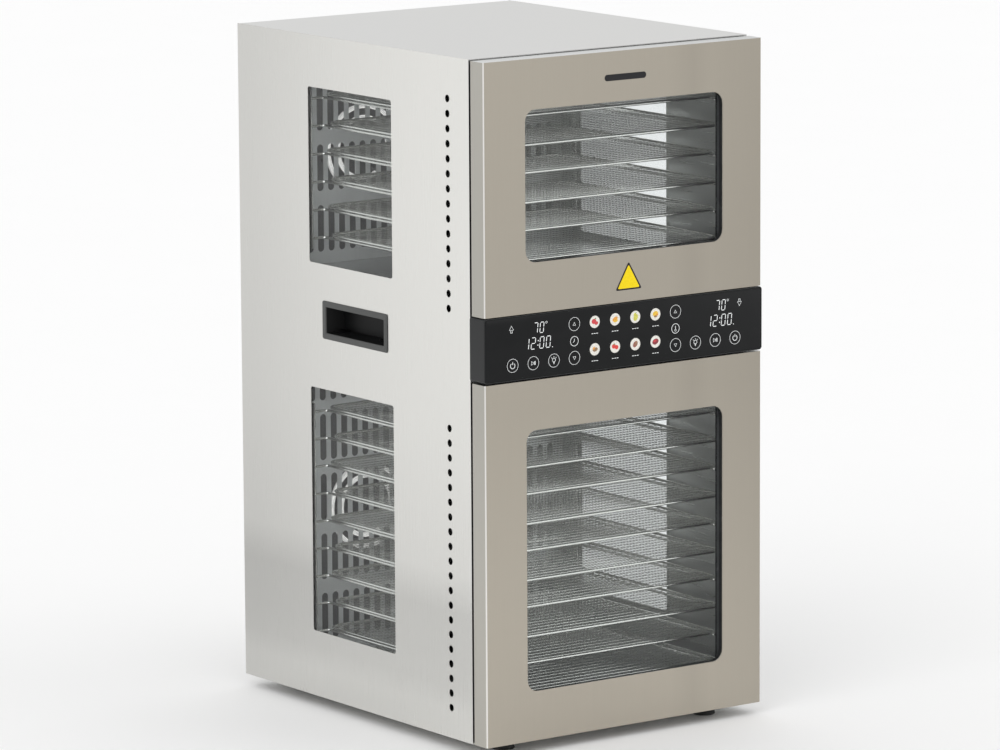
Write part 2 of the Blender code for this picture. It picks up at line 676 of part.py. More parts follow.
def door_glass(name, z):
    """The pane, seated in the frame's rebate."""
    low, high = grown(door_window(z), GLASS_LAP)
    front = Y_DOOR + REVEAL_DEPTH + GAP
    pane = prism(name, rounded(low, high, WINDOW_R / 2, 3), front, front + GLASS_T, ACROSS, PARTS)
    return finish(hinged(pane), WINDOW_GLASS)


def door_gasket(name, z, chamber):
    """The soft ring between the door's back and the chamber's front lip."""
    outer = ((-OPENING_HALF - 0.008, chamber[0] + OPENING_LIP - 0.008),
             (OPENING_HALF + 0.008, chamber[1] - OPENING_LIP + 0.008))
    inner = grown(outer, -0.0065)
    front, back = Y_DOOR_BACK + GAP, Y_BODY + FLANGE_SETBACK - GAP
    ring = plate(name, [rounded(*outer, 0.010, 3), rounded(*inner, 0.0035, 3)], back - front,
                 (0, (front + back) / 2, 0), ACROSS)
    return finish(hinged(to_mesh(ring)), SILICONE)


def hinged(obj):
    """Moves a door piece's origin onto the hinge axis without moving its shape."""
    here = Vector((HINGE_X, HINGE_Y, 0))
    obj.data.transform(Matrix.Translation(-here) @ obj.matrix_world)
    obj.matrix_world = Matrix.Translation(here)
    return obj


def door_hinge(name, z):
    """A fixed pin the height of the door, held by an arm and a foot at each end."""
    bm = bmesh.new()
    heights = arm_heights(z)
    add_cylinder(bm, PIN_R, heights[0] - 0.004, heights[1] + 0.004, "Z", (HINGE_X, HINGE_Y), 8)
    pin = new_mesh(name, bm)
    arms = bmesh.new()
    for height in heights:
        add_box(arms, (HINGE_X - ARM_W / 2, HINGE_Y - 0.0045, height - ARM_T / 2),
                (HINGE_X + ARM_W / 2, Y_BODY, height + ARM_T / 2))
    feet = bmesh.new()
    for height in heights:
        add_box(feet, (HINGE_X - ARM_W / 2, Y_BODY - 0.0015, height - HINGE_FOOT_H / 2),
                (SIDE_INNER - GAP, Y_BODY + FLANGE_SETBACK - GAP, height + HINGE_FOOT_H / 2))
    join(pin, new_mesh(name + "_arms", arms, collection=TOOLS))
    join(pin, new_mesh(name + "_feet", feet, collection=TOOLS))
    return finish(pin, DARK_METAL)


def control_housing():
    """The black housing between the doors, open at the back, with a shallow front recess."""
    x = HALF_W + PANEL_OVERHANG
    back = Y_BODY - GAP
    shell = prism("control_panel_housing", rounded((-x, Z_PANEL[0]), (x, Z_PANEL[1]), 0.004, 3),
                  Y_DOOR, back, ACROSS, PARTS)
    inside = box("housing_inside", (-x + PANEL_WALL, Y_DOOR + 0.004, Z_PANEL[0] + PANEL_WALL),
                 (x - PANEL_WALL, back + 0.1, Z_PANEL[1] - PANEL_WALL), TOOLS)
    recess = prism("housing_recess", rounded((-x + PANEL_RIM, Z_PANEL[0] + PANEL_RIM),
                                             (x - PANEL_RIM, Z_PANEL[1] - PANEL_RIM), 0.003, 3),
                   Y_DOOR - 0.1, Y_DOOR + TOUCH_T + 2 * GAP, ACROSS)
    return finish(cut(cut(shell, inside), recess), BLACK_PLASTIC)


def control_face():
    """The glossy touch face set in the housing's recess."""
    x = HALF_W + PANEL_OVERHANG - PANEL_RIM - GAP
    z = (Z_PANEL[0] + PANEL_RIM + GAP, Z_PANEL[1] - PANEL_RIM - GAP)
    face = prism("control_panel_face", rounded((-x, z[0]), (x, z[1]), 0.003, 3), Y_DOOR + GAP,
                 Y_DOOR + GAP + TOUCH_T, ACROSS, PARTS)
    return finish(face, BLACK_GLOSS)


def fan_mesh():
    """An axial impeller about its own Y axis: a hub with a bore and pitched blades."""
    bm = bmesh.new()
    add_cylinder(bm, FAN_HUB_R, 0, FAN_DEPTH, "Y", sides=12)
    hub = new_mesh("fan_hub", bm)
    blades = bmesh.new()
    for i in range(FAN_BLADES):
        spin = Matrix.Rotation(2 * pi * i / FAN_BLADES, 4, "Y")
        lean = Matrix.Translation((0, FAN_DEPTH / 2, 0)) @ Matrix.Rotation(radians(30), 4, "Z")
        add_box(blades, (-0.011, -0.0007, FAN_HUB_R - 0.003), (0.011, 0.0007, FAN_R), spin @ lean)
    bore = bmesh.new()
    add_cylinder(bore, SHAFT_R + SHAFT_CLEARANCE, FAN_DEPTH * 0.4, FAN_DEPTH + 0.01, "Y", sides=8)
    join(hub, new_mesh("fan_blades", blades, collection=TOOLS))
    cut(hub, new_mesh("fan_bore", bore, collection=TOOLS))
    bpy.context.view_layer.update()
    graph = bpy.context.evaluated_depsgraph_get()
    mesh = bpy.data.meshes.new_from_object(hub.evaluated_get(graph))
    bpy.data.objects.remove(hub, do_unlink=True)
    return mesh


def fan(name, mesh, x, z):
    """One impeller, with its origin on its shaft."""
    obj = bpy.data.objects.new(name, mesh.copy())
    obj.location = (x, Y_DUCT + FAN_FROM_DUCT, z)
    PARTS.objects.link(obj)
    return finish(obj, DARK_METAL)


def fan_mount(name, z):
    """The sheet that closes the chamber's back, with two motors behind it and their shafts."""
    x = LINER_OUT
    mount = box(name, (-x, MOUNT_Y, z[0] - LINER_T), (x, MOUNT_Y + SHEET, z[1] + LINER_T))
    motors, shafts = bmesh.new(), bmesh.new()
    middle = (z[0] + z[1]) / 2
    for side in (-1, 1):
        add_cylinder(motors, MOTOR_R, MOUNT_Y + SHEET / 2, MOUNT_Y + MOTOR_L, "Y", (side * FAN_X, middle), 20)
        add_cylinder(shafts, SHAFT_R, Y_DUCT + FAN_FROM_DUCT + FAN_DEPTH * 0.5, MOUNT_Y + SHEET / 2, "Y",
                     (side * FAN_X, middle), 8)
    join(mount, new_mesh(name + "_motors", motors, collection=TOOLS))
    join(mount, new_mesh(name + "_shafts", shafts, collection=TOOLS))
    return finish(mount, STEEL_INNER)


def heater(name, z):
    """One tubular element that loops round in front of both fans."""
    y = Y_DUCT + DUCT_T + HEATER_FROM_DUCT
    middle = (z[0] + z[1]) / 2
    points = []
    for side, start in ((-1, -60), (1, 200)):
        angles = [radians(start - 320 * i / 22) for i in range(23)]
        points += [(side * FAN_X + HEATER_R * cos(a), y, middle + HEATER_R * sin(a)) for a in angles]
    return finish(wire(name, points, HEATER_TUBE_R, 1), HEATER_STEEL)


def main():
    """Builds every piece of the cabinet."""
    for side, word in ((-1, "left"), (1, "right")):
        side_panel(f"{word}_side_panel", side)
        carry_handle(f"{word}_carry_handle", side)
        for zone in ("upper", "lower"):
            side_glass(f"{zone}_{word}_window", side, zone)
            rack(f"{zone}_{word}_rack", side, zone)
        for y, end in ((Y_BODY + FOOT_INSET_FRONT, "front"), (Y_REAR - FOOT_INSET_REAR, "rear")):
            foot(f"{end}_{word}_foot", side * (HALF_W - FOOT_INSET_X), y)
    top_panel()
    base_plate()
    rear_panel()
    power_inlet()
    control_housing()
    control_face()
    impeller = fan_mesh()
    flange = {"lower": (Z_BODY + SHEET + GAP, Z_PANEL[0]), "upper": (Z_PANEL[1], Z_TOP - SHEET - GAP)}
    chambers = {"upper": (UPPER_Z, Z_UPPER_DOOR, FIRST_SLOT_UPPER),
                "lower": (LOWER_Z, Z_LOWER_DOOR, FIRST_SLOT_LOWER)}
    for zone, (z, door, first_slot) in chambers.items():
        liner(f"{zone}_liner", zone, z, flange[zone])
        duct_wall(f"{zone}_duct_wall", z, first_slot)
        fan_mount(f"{zone}_fan_mount", z)
        heater(f"{zone}_heater", z)
        fan(f"{zone}_left_fan", impeller, -FAN_X, (z[0] + z[1]) / 2)
        fan(f"{zone}_right_fan", impeller, FAN_X, (z[0] + z[1]) / 2)
        door_skin(f"{zone}_door_skin", door)
        door_frame(f"{zone}_door_frame", door)
        door_glass(f"{zone}_door_glass", door)
        door_gasket(f"{zone}_door_gasket", door, z)
        door_hinge(f"{zone}_door_hinge", door)
        for i, height in enumerate(tray_heights(zone)):
            tray(f"{zone}_tray_{i + 1:02d}", height, TRAY_STAGGER * (i % 2))
    bpy.data.meshes.remove(impeller)


main()
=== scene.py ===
"""Finishes a two-zone food dehydrator: a brushed steel cabinet with glazed doors, woven wire
trays on bent rails, slotted air walls, a touch panel between the doors, and a studio."""

from math import copysign, cos, pi, radians, sin

import bmesh
import bpy
from bmesh import ops
from bpy.props import FloatProperty, FloatVectorProperty, IntProperty, PointerProperty
from mathutils import Matrix, Vector


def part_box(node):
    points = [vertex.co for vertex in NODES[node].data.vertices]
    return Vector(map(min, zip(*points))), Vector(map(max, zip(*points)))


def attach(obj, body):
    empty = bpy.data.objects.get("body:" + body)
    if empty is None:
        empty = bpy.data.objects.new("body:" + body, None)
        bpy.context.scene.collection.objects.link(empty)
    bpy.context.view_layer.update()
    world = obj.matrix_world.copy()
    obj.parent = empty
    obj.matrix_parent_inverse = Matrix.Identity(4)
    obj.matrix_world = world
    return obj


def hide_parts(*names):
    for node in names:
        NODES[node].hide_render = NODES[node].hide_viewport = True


bl_info = {
    "name": "Food Dehydrator",
    "version": (1, 0, 0),
    "blender": (4, 5, 0),
    "location": "View3D > Sidebar > Dehydrator",
    "description": "Builds the visible pieces of a two-zone food dehydrator and its studio",
    "category": "Object",
}

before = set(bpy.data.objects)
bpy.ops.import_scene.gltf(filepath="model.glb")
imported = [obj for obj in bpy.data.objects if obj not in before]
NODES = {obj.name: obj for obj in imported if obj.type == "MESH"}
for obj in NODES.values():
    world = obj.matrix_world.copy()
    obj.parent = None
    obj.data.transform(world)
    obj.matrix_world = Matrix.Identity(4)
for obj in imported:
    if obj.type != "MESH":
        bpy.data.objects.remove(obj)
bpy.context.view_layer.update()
ZONES = ("upper", "lower")
SIDES = ((-1, "left"), (1, "right"))
CORNER_STEPS = 8
SHARP = 1e-5  # radius of a corner that is left sharp
FIRST_SLOT = {"upper": 0.016, "lower": 0.048}  # from a duct wall's foot to its lowest row of air slots
NOISE_RANGE = (0.3, 0.7)  # the part of a noise pattern's range that holds most of it

# Facings: a flat outline's x, y and depth run along these world axes
FRONT = Matrix(((1, 0, 0, 0), (0, 0, 1, 0), (0, 1, 0, 0), (0, 0, 0, 1)))
SIDE = Matrix(((0, 0, 1, 0), (1, 0, 0, 0), (0, 1, 0, 0), (0, 0, 0, 1)))
UP = Matrix.Identity(4)


# Sizes and colours


def length(name, text, default):
    return FloatProperty(name=name, description=text, default=default, min=0.0, precision=5,
                         unit="LENGTH", subtype="DISTANCE")


def colour(name, text, default):
    return FloatVectorProperty(name=name, description=text, default=default, min=0.0, max=1.0,
                               size=3, subtype="COLOR")


def share(name, text, default):
    return FloatProperty(name=name, description=text, default=default, min=0.0, max=1.0, subtype="FACTOR")


class SteelSizes(bpy.types.PropertyGroup):
    """Sheet steel: colours, polish and the small openings in the side panels."""

    side_colour: colour("Side colour", "Brushed steel of the sides, top and back", (0.76, 0.755, 0.725))
    door_colour: colour("Door colour", "Brushed steel of the two doors", (0.385, 0.353, 0.300))
    top_colour: colour("Top colour", "Brushed steel of the top", (0.685, 0.685, 0.675))
    duct_colour: colour("Duct wall colour", "Pale steel of the slotted air walls", (0.90, 0.91, 0.91))
    inner_colour: colour("Chamber colour", "Satin steel inside the chambers", (0.64, 0.65, 0.65))
    side_polish: share("Side roughness", "Roughness of the side panels", 0.30)
    door_polish: share("Door roughness", "Roughness of the doors", 0.34)
    inner_polish: share("Chamber roughness", "Roughness of the chamber walls", 0.30)
    edge_roll: length("Edge roll", "Softening of a cut sheet edge", 0.00025)
    vent_radius: length("Vent radius", "Radius of the round vent holes", 0.0046)
    vent_pitch: length("Vent pitch", "Distance between vent holes", 0.01855)
    vent_setback: length("Vent setback", "From the panel's front edge to the vents", 0.0449)
    upper_vents: IntProperty(name="Upper vents", description="Vent holes beside the upper chamber", default=15)
    lower_vents: IntProperty(name="Lower vents", description="Vent holes beside the lower chamber", default=20)
    vent_from_top: length("Vents below the top", "From the top to the first upper vent", 0.0519)
    vent_from_base: length("Vents above the base", "From the base to the first lower vent", 0.0386)


class ChamberSizes(bpy.types.PropertyGroup):
    """Trays, rails, air walls and heaters."""

    wire_colour: colour("Wire colour", "Drawn steel wire of the trays and rails", (0.72, 0.72, 0.69))
    wire_polish: share("Wire roughness", "Roughness of the drawn wire", 0.22)
    rim_radius: length("Rim radius", "Radius of a tray's rim wire", 0.0018)
    mesh_radius: length("Mesh wire radius", "Radius of a tray's woven wires", 0.00042)
    mesh_pitch: length("Mesh pitch", "Distance between the wires that run front to back", 0.0050)
    mesh_cross: length("Cross wire pitch", "Distance between the wires that run left to right", 0.0135)
    rim_bend: length("Rim bend", "Corner radius of a tray's rim", 0.018)
    rail_radius: length("Rail radius", "Radius of a rail's wire", 0.0017)
    rail_bend: length("Rail bend", "Bend radius at a rail's ends", 0.006)
    slot_width: length("Slot width", "Width of an air slot", 0.0095)
    slot_length: length("Slot length", "Length of an air slot", 0.060)
    slot_pitch: length("Slot pitch", "Distance between air slots across the wall", 0.0164)
    slot_row: length("Slot row pitch", "Distance between rows of air slots", 0.078)
    heater_radius: length("Heater radius", "Radius of a heater ring", 0.054)
    heater_tube: length("Heater tube", "Radius of the heater's tube", 0.0032)
    heater_inner: length("Inner heater radius", "Radius of the heater's inner turn", 0.039)
    # Emission of the heater tube: a painted glint, so the tube reads as bright strokes though it is no lamp.
    heater_painted_glint: share("Heater glint", "How far the polished tube is lifted out of the dark", 0.45)


class PanelSizes(bpy.types.PropertyGroup):
    """The touch panel and its marks."""

    mark_colour: colour("Mark colour", "White of the printed and lit marks", (0.86, 0.88, 0.88))
    face_colour: colour("Face colour", "Glossy black of the touch face", (0.008, 0.0085, 0.009))
    line: length("Mark line", "Line width of the marks", 0.0007)
    button_radius: length("Button radius", "Radius of a button's ring", 0.0083)
    column: length("Column pitch", "Distance between columns of marks", 0.0314)
    digit_height: length("Digit height", "Height of the display's digits", 0.0140)


class StudioSizes(bpy.types.PropertyGroup):
    """Camera, light and floor."""

    camera_place: FloatVectorProperty(name="Camera place", description="Where the camera stands",
                                      default=(-4.4332, -6.1405, 1.7273), subtype="TRANSLATION")
    camera_lens: FloatProperty(name="Lens", description="Focal length on a 36 mm sensor", default=216.48,
                               unit="CAMERA")
    sky: FloatProperty(name="Room light", description="Strength of the even white room light", default=0.92)
    floor_colour: colour("Floor colour", "Pale floor", (0.93, 0.93, 0.93))


GROUPS = {"steel": SteelSizes, "chamber": ChamberSizes, "panel": PanelSizes, "studio": StudioSizes}


def sizes(group):
    return getattr(bpy.context.scene, "dehydrator_" + group)


# Materials


def feed(node, inputs):
    """Gives a node's inputs, by name or number, a value each or a link from an output."""
    for name, value in inputs.items():
        if isinstance(value, bpy.types.NodeSocket):
            node.id_data.links.new(value, node.inputs[name])
        else:
            node.inputs[name].default_value = value


def add(made, kind, inputs, **settings):
    """Adds a node to a material, with its settings and inputs."""
    node = made.node_tree.nodes.new("ShaderNode" + kind)
    for name, value in settings.items():
        setattr(node, name, value)
    feed(node, inputs)
    return node


def shader_of(made):
    return made.node_tree.nodes["Principled BSDF"]


def material(name, tint, rough, inputs):
    """A new node material with its uniform values set on the shader."""
    made = bpy.data.materials.new(name)
    made.use_nodes = True
    made.diffuse_color = (*tint, 1)
    feed(shader_of(made), {"Base Color": (*tint, 1), "Roughness": rough, **inputs})
    return made


def grain(made, stretch, detail):
    """A noise pattern in object coordinates, stretched by a Mapping node; gives its output."""
    place = add(made, "TexCoord", {}).outputs["Object"]
    turn = add(made, "Mapping", {"Vector": place, "Scale": stretch}).outputs["Vector"]
    noise = add(made, "TexNoise", {"Vector": turn, "Scale": 1.0, "Detail": detail, "Roughness": 0.6})
    return noise.outputs["Fac"]


def patterned(name, tint, rough, stretch, tints, detail=3.0, roughs=None, bump=None, inputs=None):
    """A material that follows a fine pattern: tints and roughs say how far it spreads, bump how high it stands."""
    made = material(name, tint, rough, inputs or {})
    fine = grain(made, stretch if isinstance(stretch, tuple) else (stretch,) * 3, detail)
    ramp = add(made, "ValToRGB", {"Fac": fine})
    for mark, place, factor in zip(ramp.color_ramp.elements, NOISE_RANGE, tints):
        mark.position, mark.color = place, (*(min(1.0, c * factor) for c in tint), 1)
    feed(shader_of(made), {"Base Color": ramp.outputs["Color"]})
    if roughs:
        spread = add(made, "MapRange", {"Value": fine, "From Min": NOISE_RANGE[0], "From Max": NOISE_RANGE[1],
                                        "To Min": rough + roughs[0], "To Max": rough + roughs[1]})
        feed(shader_of(made), {"Roughness": spread.outputs["Result"]})
    if bump:
        raised = add(made, "Bump", {"Height": fine, "Strength": bump[0], "Distance": bump[1]})
        feed(shader_of(made), {"Normal": raised.outputs["Normal"]})
    return made


def shaded(made, coordinate, axis, stops, absolute=False):
    """Multiplies the base colour along one axis: stops are pairs of a distance and a factor or a colour."""
    place = add(made, "TexCoord", {}).outputs[coordinate]
    value = add(made, "SeparateXYZ", {"Vector": place}).outputs[axis]
    if absolute:
        value = add(made, "Math", {0: value}, operation="ABSOLUTE").outputs["Value"]
    first, last = stops[0][0], stops[-1][0]
    spread = add(made, "MapRange", {"Value": value, "From Min": first, "From Max": last})
    ramp = add(made, "ValToRGB", {"Fac": spread.outputs["Result"]})
    marks = ramp.color_ramp.elements
    while len(marks) < len(stops):
        marks.new(0.5)
    for mark, (distance, factor) in zip(marks, stops):
        mark.position = (distance - first) / (last - first)
        mark.color = (*(factor if isinstance(factor, tuple) else (factor,) * 3), 1)
    before = shader_of(made).inputs["Base Color"].links[0].from_socket
    mix = add(made, "Mix", {0: 1.0, 6: before, 7: ramp.outputs["Color"]}, data_type="RGBA", blend_type="MULTIPLY")
    feed(shader_of(made), {"Base Color": mix.outputs[2]})


def brushed_steel(name, tint, rough, stretch, bump=0.10, streak=0.03, metal=1.0, inputs=None):
    """Steel sheet brushed along its short-scaled axis, with faint streaks."""
    return patterned(name, tint, rough, stretch, (1 - streak, 1 + streak), 4.0, (-0.04, 0.05), (bump, 0.00005),
                     {"Metallic": metal, **(inputs or {})})


def moulded_plastic(name, tint, rough, pores=900, bump=0.25, depth=0.00008, shine=0.5):
    """Moulded plastic or rubber with a fine spark-eroded texture."""
    return patterned(name, tint, rough, pores, (0.88, 1.12), 3.0, (-0.06, 0.06), (bump, depth),
                     {"Specular IOR Level": shine})


def side_steel(steel, stretch):
    """The cabinet's brushed steel with painted reflection: it darkens a little towards its back and its base, with a
    painted dark horizon band low down.
    """
    made = brushed_steel("side_steel_painted_reflection", steel.side_colour, steel.side_polish, stretch, streak=0.015)
    # Painted reflection: darker towards the back.
    shaded(made, "Object", "Y", ((-0.25, 1.03), (-0.13, 1.0), (0.05, 0.93), (0.24, 0.82)))
    # Painted reflection: darker towards the base, with a painted dark horizon band about 0.175 up.
    shaded(made, "Object", "Z", ((0.0, 0.97), (0.05, 0.94), (0.08, 0.83), (0.12, 0.78), (0.175, 0.75), (0.225, 0.90),
                                 (0.40, 0.965), (0.68, 1.0)))
    return made


def door_steel(steel, stretch):
    """The doors' brushed steel with painted light: a painted highlight on the rounded corners, painted sheen on the
    side and top faces, and painted reflection across the front.
    """
    made = brushed_steel("brushed_door_steel", steel.door_colour, steel.door_polish, stretch, streak=0.02)
    # Factors for the painted corner highlight, the painted sheen on the side faces and the painted sheen on the top
    # faces.
    painted_corner_highlight, painted_side_sheen, top = (1.85, 1.98, 2.25), (1.08, 1.14, 1.22), (1.45, 1.52, 1.65)
    # Painted highlight on the corner facets and painted sheen on the side faces, by which way the surface faces.
    shaded(made, "Normal", "Y", ((0.0, painted_side_sheen), (0.4, painted_side_sheen), (0.5, painted_corner_highlight), (0.8, painted_corner_highlight), (0.9, 1.0), (1.0, 1.0)), True)
    # Painted sheen on the upward faces.
    shaded(made, "Normal", "Z", ((0.5, 1.0), (1.0, top)))
    # Painted reflection: brighter towards the base of each door.
    shaded(made, "Object", "Z", ((0.05, 1.17), (0.15, 1.13), (0.44, 1.0), (0.62, 1.0), (0.86, 1.04)))
    # Painted reflection: darker towards the right, with a darker vertical band.
    shaded(made, "Object", "X", ((-0.215, 1.05), (0.0, 1.01), (0.07, 1.0), (0.105, 0.93), (0.135, 0.98), (0.215, 0.92)))
    return made


def liner_steel_painted_shade(steel, stretch):
    """The chamber liners: satin steel inside, with painted shade on the outside, where the face behind the vents is
    painted nearly black.
    """
    made = brushed_steel("liner_steel_painted_shade", steel.inner_colour, steel.inner_polish, stretch, 0.05)
    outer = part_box("upper_liner")[1].x
    # Painted shade: the liner's outer face, seen through the vents, is painted nearly black.
    shaded(made, "Object", "X", ((outer - 0.0006, 1.0), (outer - 0.0002, 0.04)), True)
    return made


def door_frame_moulding():
    """The doors' inner frame: black in front of the pane, with painted light in the hollow behind it, painted grey to
    stand in for the lit chamber seen through the pane.
    """
    made = moulded_plastic("black_frame_painted_light", (0.014, 0.014, 0.015), 0.42)
    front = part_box("upper_door_skin")[0].y
    # Painted light: the part of the frame behind the pane is painted grey to stand in for the chamber seen there.
    shaded(made, "Object", "Y", ((front + 0.0110, 1.0), (front + 0.0116, 9.0), (front + 0.0228, 9.0),
                                 (front + 0.0236, 1.0)))
    return made


def clear_glass(name, tint):
    """A pane that passes light straight through with a light tint and mirrors by its angle."""
    made = material(name, tint, 0.02, {})
    clear = add(made, "BsdfTransparent", {"Color": (*tint, 1)})
    wiped = add(made, "MapRange", {"Value": grain(made, (9, 9, 9), 3.0), "To Min": 0.01, "To Max": 0.05})
    gloss = add(made, "BsdfGlossy", {"Roughness": wiped.outputs["Result"]})
    angle = add(made, "Fresnel", {"IOR": 1.45})
    faces = add(made, "NewGeometry", {})
    front = add(made, "Math", {0: 1.0, 1: faces.outputs["Backfacing"]}, operation="SUBTRACT")
    mirror = add(made, "Math", {0: angle.outputs["Fac"], 1: front.outputs["Value"]}, operation="MULTIPLY")
    mix = add(made, "MixShader", {0: mirror.outputs["Value"], 1: clear.outputs["BSDF"], 2: gloss.outputs["BSDF"]})
    feed(made.node_tree.nodes["Material Output"], {"Surface": mix.outputs["Shader"]})
    made.node_tree.nodes.remove(shader_of(made))
    return made


FINISHES = {}


def make_finishes():
    """Every finish of the cabinet, by name."""
    steel, chamber, panel = sizes("steel"), sizes("chamber"), sizes("panel")
    upright, forward, rising = (1400, 1400, 9), (500, 12, 500), (500, 500, 12)
    # Painted glint: the heater tube glows white, though it is no lamp.
    glint = {"Emission Color": (1.0, 0.99, 0.97, 1), "Emission Strength": chamber.heater_painted_glint}
    FINISHES.update({
        "cabinet_steel": side_steel(steel, upright),
        "top_steel": brushed_steel("brushed_top_steel", steel.top_colour, 0.5, (1400, 9, 1400), streak=0.015),
        "door_steel": door_steel(steel, upright),
        "liner_steel_painted_shade": liner_steel_painted_shade(steel, forward),
        "duct_steel": brushed_steel("pale_duct_steel", steel.duct_colour, 0.42, rising, 0.05, metal=0.5),
        "mount_steel": brushed_steel("dull_mount_steel", (0.22, 0.22, 0.22), 0.55, forward, 0.05, metal=0.6),
        "wire": brushed_steel("drawn_wire", chamber.wire_colour, chamber.wire_polish, 300, 0.05),
        "hinge": brushed_steel("plain_hinge_steel", (0.45, 0.45, 0.44), 0.35, (900, 900, 60)),
        "heater": brushed_steel("heater_tube_painted_glint", (0.90, 0.89, 0.86), 0.10, 200, 0.02, inputs=glint),
        "handle": moulded_plastic("dark_grey_moulding", (0.068, 0.070, 0.068), 0.46, shine=0.35),
        # Painted shade: the inside of the grip's recess is near black.
        "handle_recess_painted_shade": moulded_plastic("near_black_painted_shade", (0.006, 0.0062, 0.0064), 0.38, shine=0.12),
        "frame": moulded_plastic("black_moulding", (0.014, 0.014, 0.015), 0.42),
        "door_frame": door_frame_moulding(),
        "housing": moulded_plastic("black_satin_moulding", (0.022, 0.0228, 0.0235), 0.34, 1200, 0.15, shine=0.2),
        "fan": moulded_plastic("dark_impeller_moulding", (0.055, 0.055, 0.057), 0.45),
        "rubber": moulded_plastic("black_rubber", (0.022, 0.022, 0.022), 0.78, 500, 0.4, 0.0002),
        "gasket": moulded_plastic("grey_silicone", (0.13, 0.13, 0.13), 0.62, 400, 0.2, 0.0001),
        "face": patterned("black_touch_glass", panel.face_colour, 0.09, 30, (0.9, 1.1), 2.0, (-0.02, 0.02),
                          inputs={"Specular IOR Level": 0.16}),
        "glass": clear_glass("lightly_tinted_glass", (0.955, 0.965, 0.965)),
    })


# Shapes


def outline(bm, low, high, radius, facing=UP, depth=0.0, steps=CORNER_STEPS):
    """A rounded rectangle as a ring of edges: a circle whose four quarters are moved apart."""
    count = 4 * steps
    ring = ops.create_circle(bm, segments=count, radius=radius / cos(pi / count),
                             matrix=Matrix.Rotation(pi / count, 4, "Z"))["verts"]
    for vert in ring:
        vert.co.x += copysign((high[0] - low[0]) / 2 - radius, vert.co.x) + (low[0] + high[0]) / 2
        vert.co.y += copysign((high[1] - low[1]) / 2 - radius, vert.co.y) + (low[1] + high[1]) / 2
        vert.co.z = depth
    ops.transform(bm, matrix=facing, verts=ring)
    return ring


def ring_edges(ring):
    inside = set(ring)
    return list({edge for vert in ring for edge in vert.link_edges if edge.other_vert(vert) in inside})


def grown(corners, margin):
    """Low and high corners moved outward by a margin, or by one for each direction."""
    mx, my = margin if isinstance(margin, tuple) else (margin, margin)
    (x0, y0), (x1, y1) = corners
    return (x0 - mx, y0 - my), (x1 + mx, y1 + my)


def only(kind, parts):
    return [part for part in parts if isinstance(part, getattr(bmesh.types, kind))]


def stack(bm, rows, facing, closed=False):
    """A skin through rounded rectangles, each given as corners, corner radius and depth."""
    rings = [outline(bm, *corners, radius, facing, depth) for corners, radius, depth in rows]
    for a, b in zip(rings, rings[1:] + rings[:1] if closed else rings[1:]):
        for i in range(len(a)):
            bm.faces.new((a[i - 1], a[i], b[i], b[i - 1]))
    if not closed:
        for ring in (rings[0], rings[-1]):
            ops.contextual_create(bm, geom=ring_edges(ring))


def stations(corners, *rows):
    """Stations round one outline: each row holds a margin, a corner radius and a depth."""
    return [(grown(corners, margin), radius, depth) for margin, radius, depth in rows]


def pierced_sheet(bm, outlines, thickness, facing, roll=0.0):
    """A flat sheet: the first outline is its edge and the rest are holes. Its face is at depth 0."""
    for low, high, radius, steps in outlines:
        outline(bm, low, high, radius, steps=steps)
    filled = ops.triangle_fill(bm, use_beauty=True, use_dissolve=False, edges=bm.edges[:])["geom"]
    walls = ops.extrude_face_region(bm, geom=only("BMFace", filled))["geom"]
    ops.translate(bm, verts=only("BMVert", walls), vec=(0, 0, thickness))
    ops.recalc_face_normals(bm, faces=bm.faces)
    if roll:
        rims = [e for e in bm.edges if len(e.link_faces) == 2 and e.calc_face_angle() > radians(60)
                and all(abs(v.co.z) < 1e-7 for v in e.verts)]
        ops.bevel(bm, geom=rims, offset=roll, segments=2, profile=0.5, affect="EDGES", material=-1,
                  clamp_overlap=True)
    ops.transform(bm, matrix=facing, verts=bm.verts)


def bent_wire(bm, start, heading, radius, moves, sides, loop=False):
    """A round wire drawn by moves: ("run", length) or ("bend", axis, bend radius, angle, steps)."""
    place, ahead = Vector(start), Vector(heading).normalized()
    turn = ahead.to_track_quat("Z", "Y").to_matrix().to_4x4()
    verts = ops.create_circle(bm, segments=sides, radius=radius, cap_ends=not loop,
                              matrix=Matrix.Translation(place) @ turn)["verts"]
    edges = ring_edges(verts)
    for move in moves:
        if move[0] == "run":
            verts = only("BMVert", ops.extrude_edge_only(bm, edges=edges)["geom"])
            ops.translate(bm, verts=verts, vec=ahead * move[1])
            place += ahead * move[1]
            edges = ring_edges(verts)
        else:
            axis, bend, angle, steps = Vector(move[1]).normalized(), *move[2:]
            centre = place + axis.cross(ahead) * bend
            swing = Matrix.Rotation(angle, 3, axis)
            last = ops.spin(bm, geom=edges, cent=centre, axis=axis, angle=angle, steps=steps)["geom_last"]
            edges = only("BMEdge", last)
            place, ahead = centre + swing @ (place - centre), swing @ ahead
    if not loop:
        ops.contextual_create(bm, geom=edges)


def block(bm, low, high, roll):
    """A box between two corners with softened edges."""
    size = [b - a for a, b in zip(low, high)]
    middle = [(a + b) / 2 for a, b in zip(low, high)]
    verts = ops.create_cube(bm, size=1, matrix=Matrix.Translation(middle) @ Matrix.Diagonal((*size, 1)))["verts"]
    edges = list({e for v in verts for e in v.link_edges})
    ops.bevel(bm, geom=edges, offset=roll, segments=2, profile=0.5, affect="EDGES", material=-1)


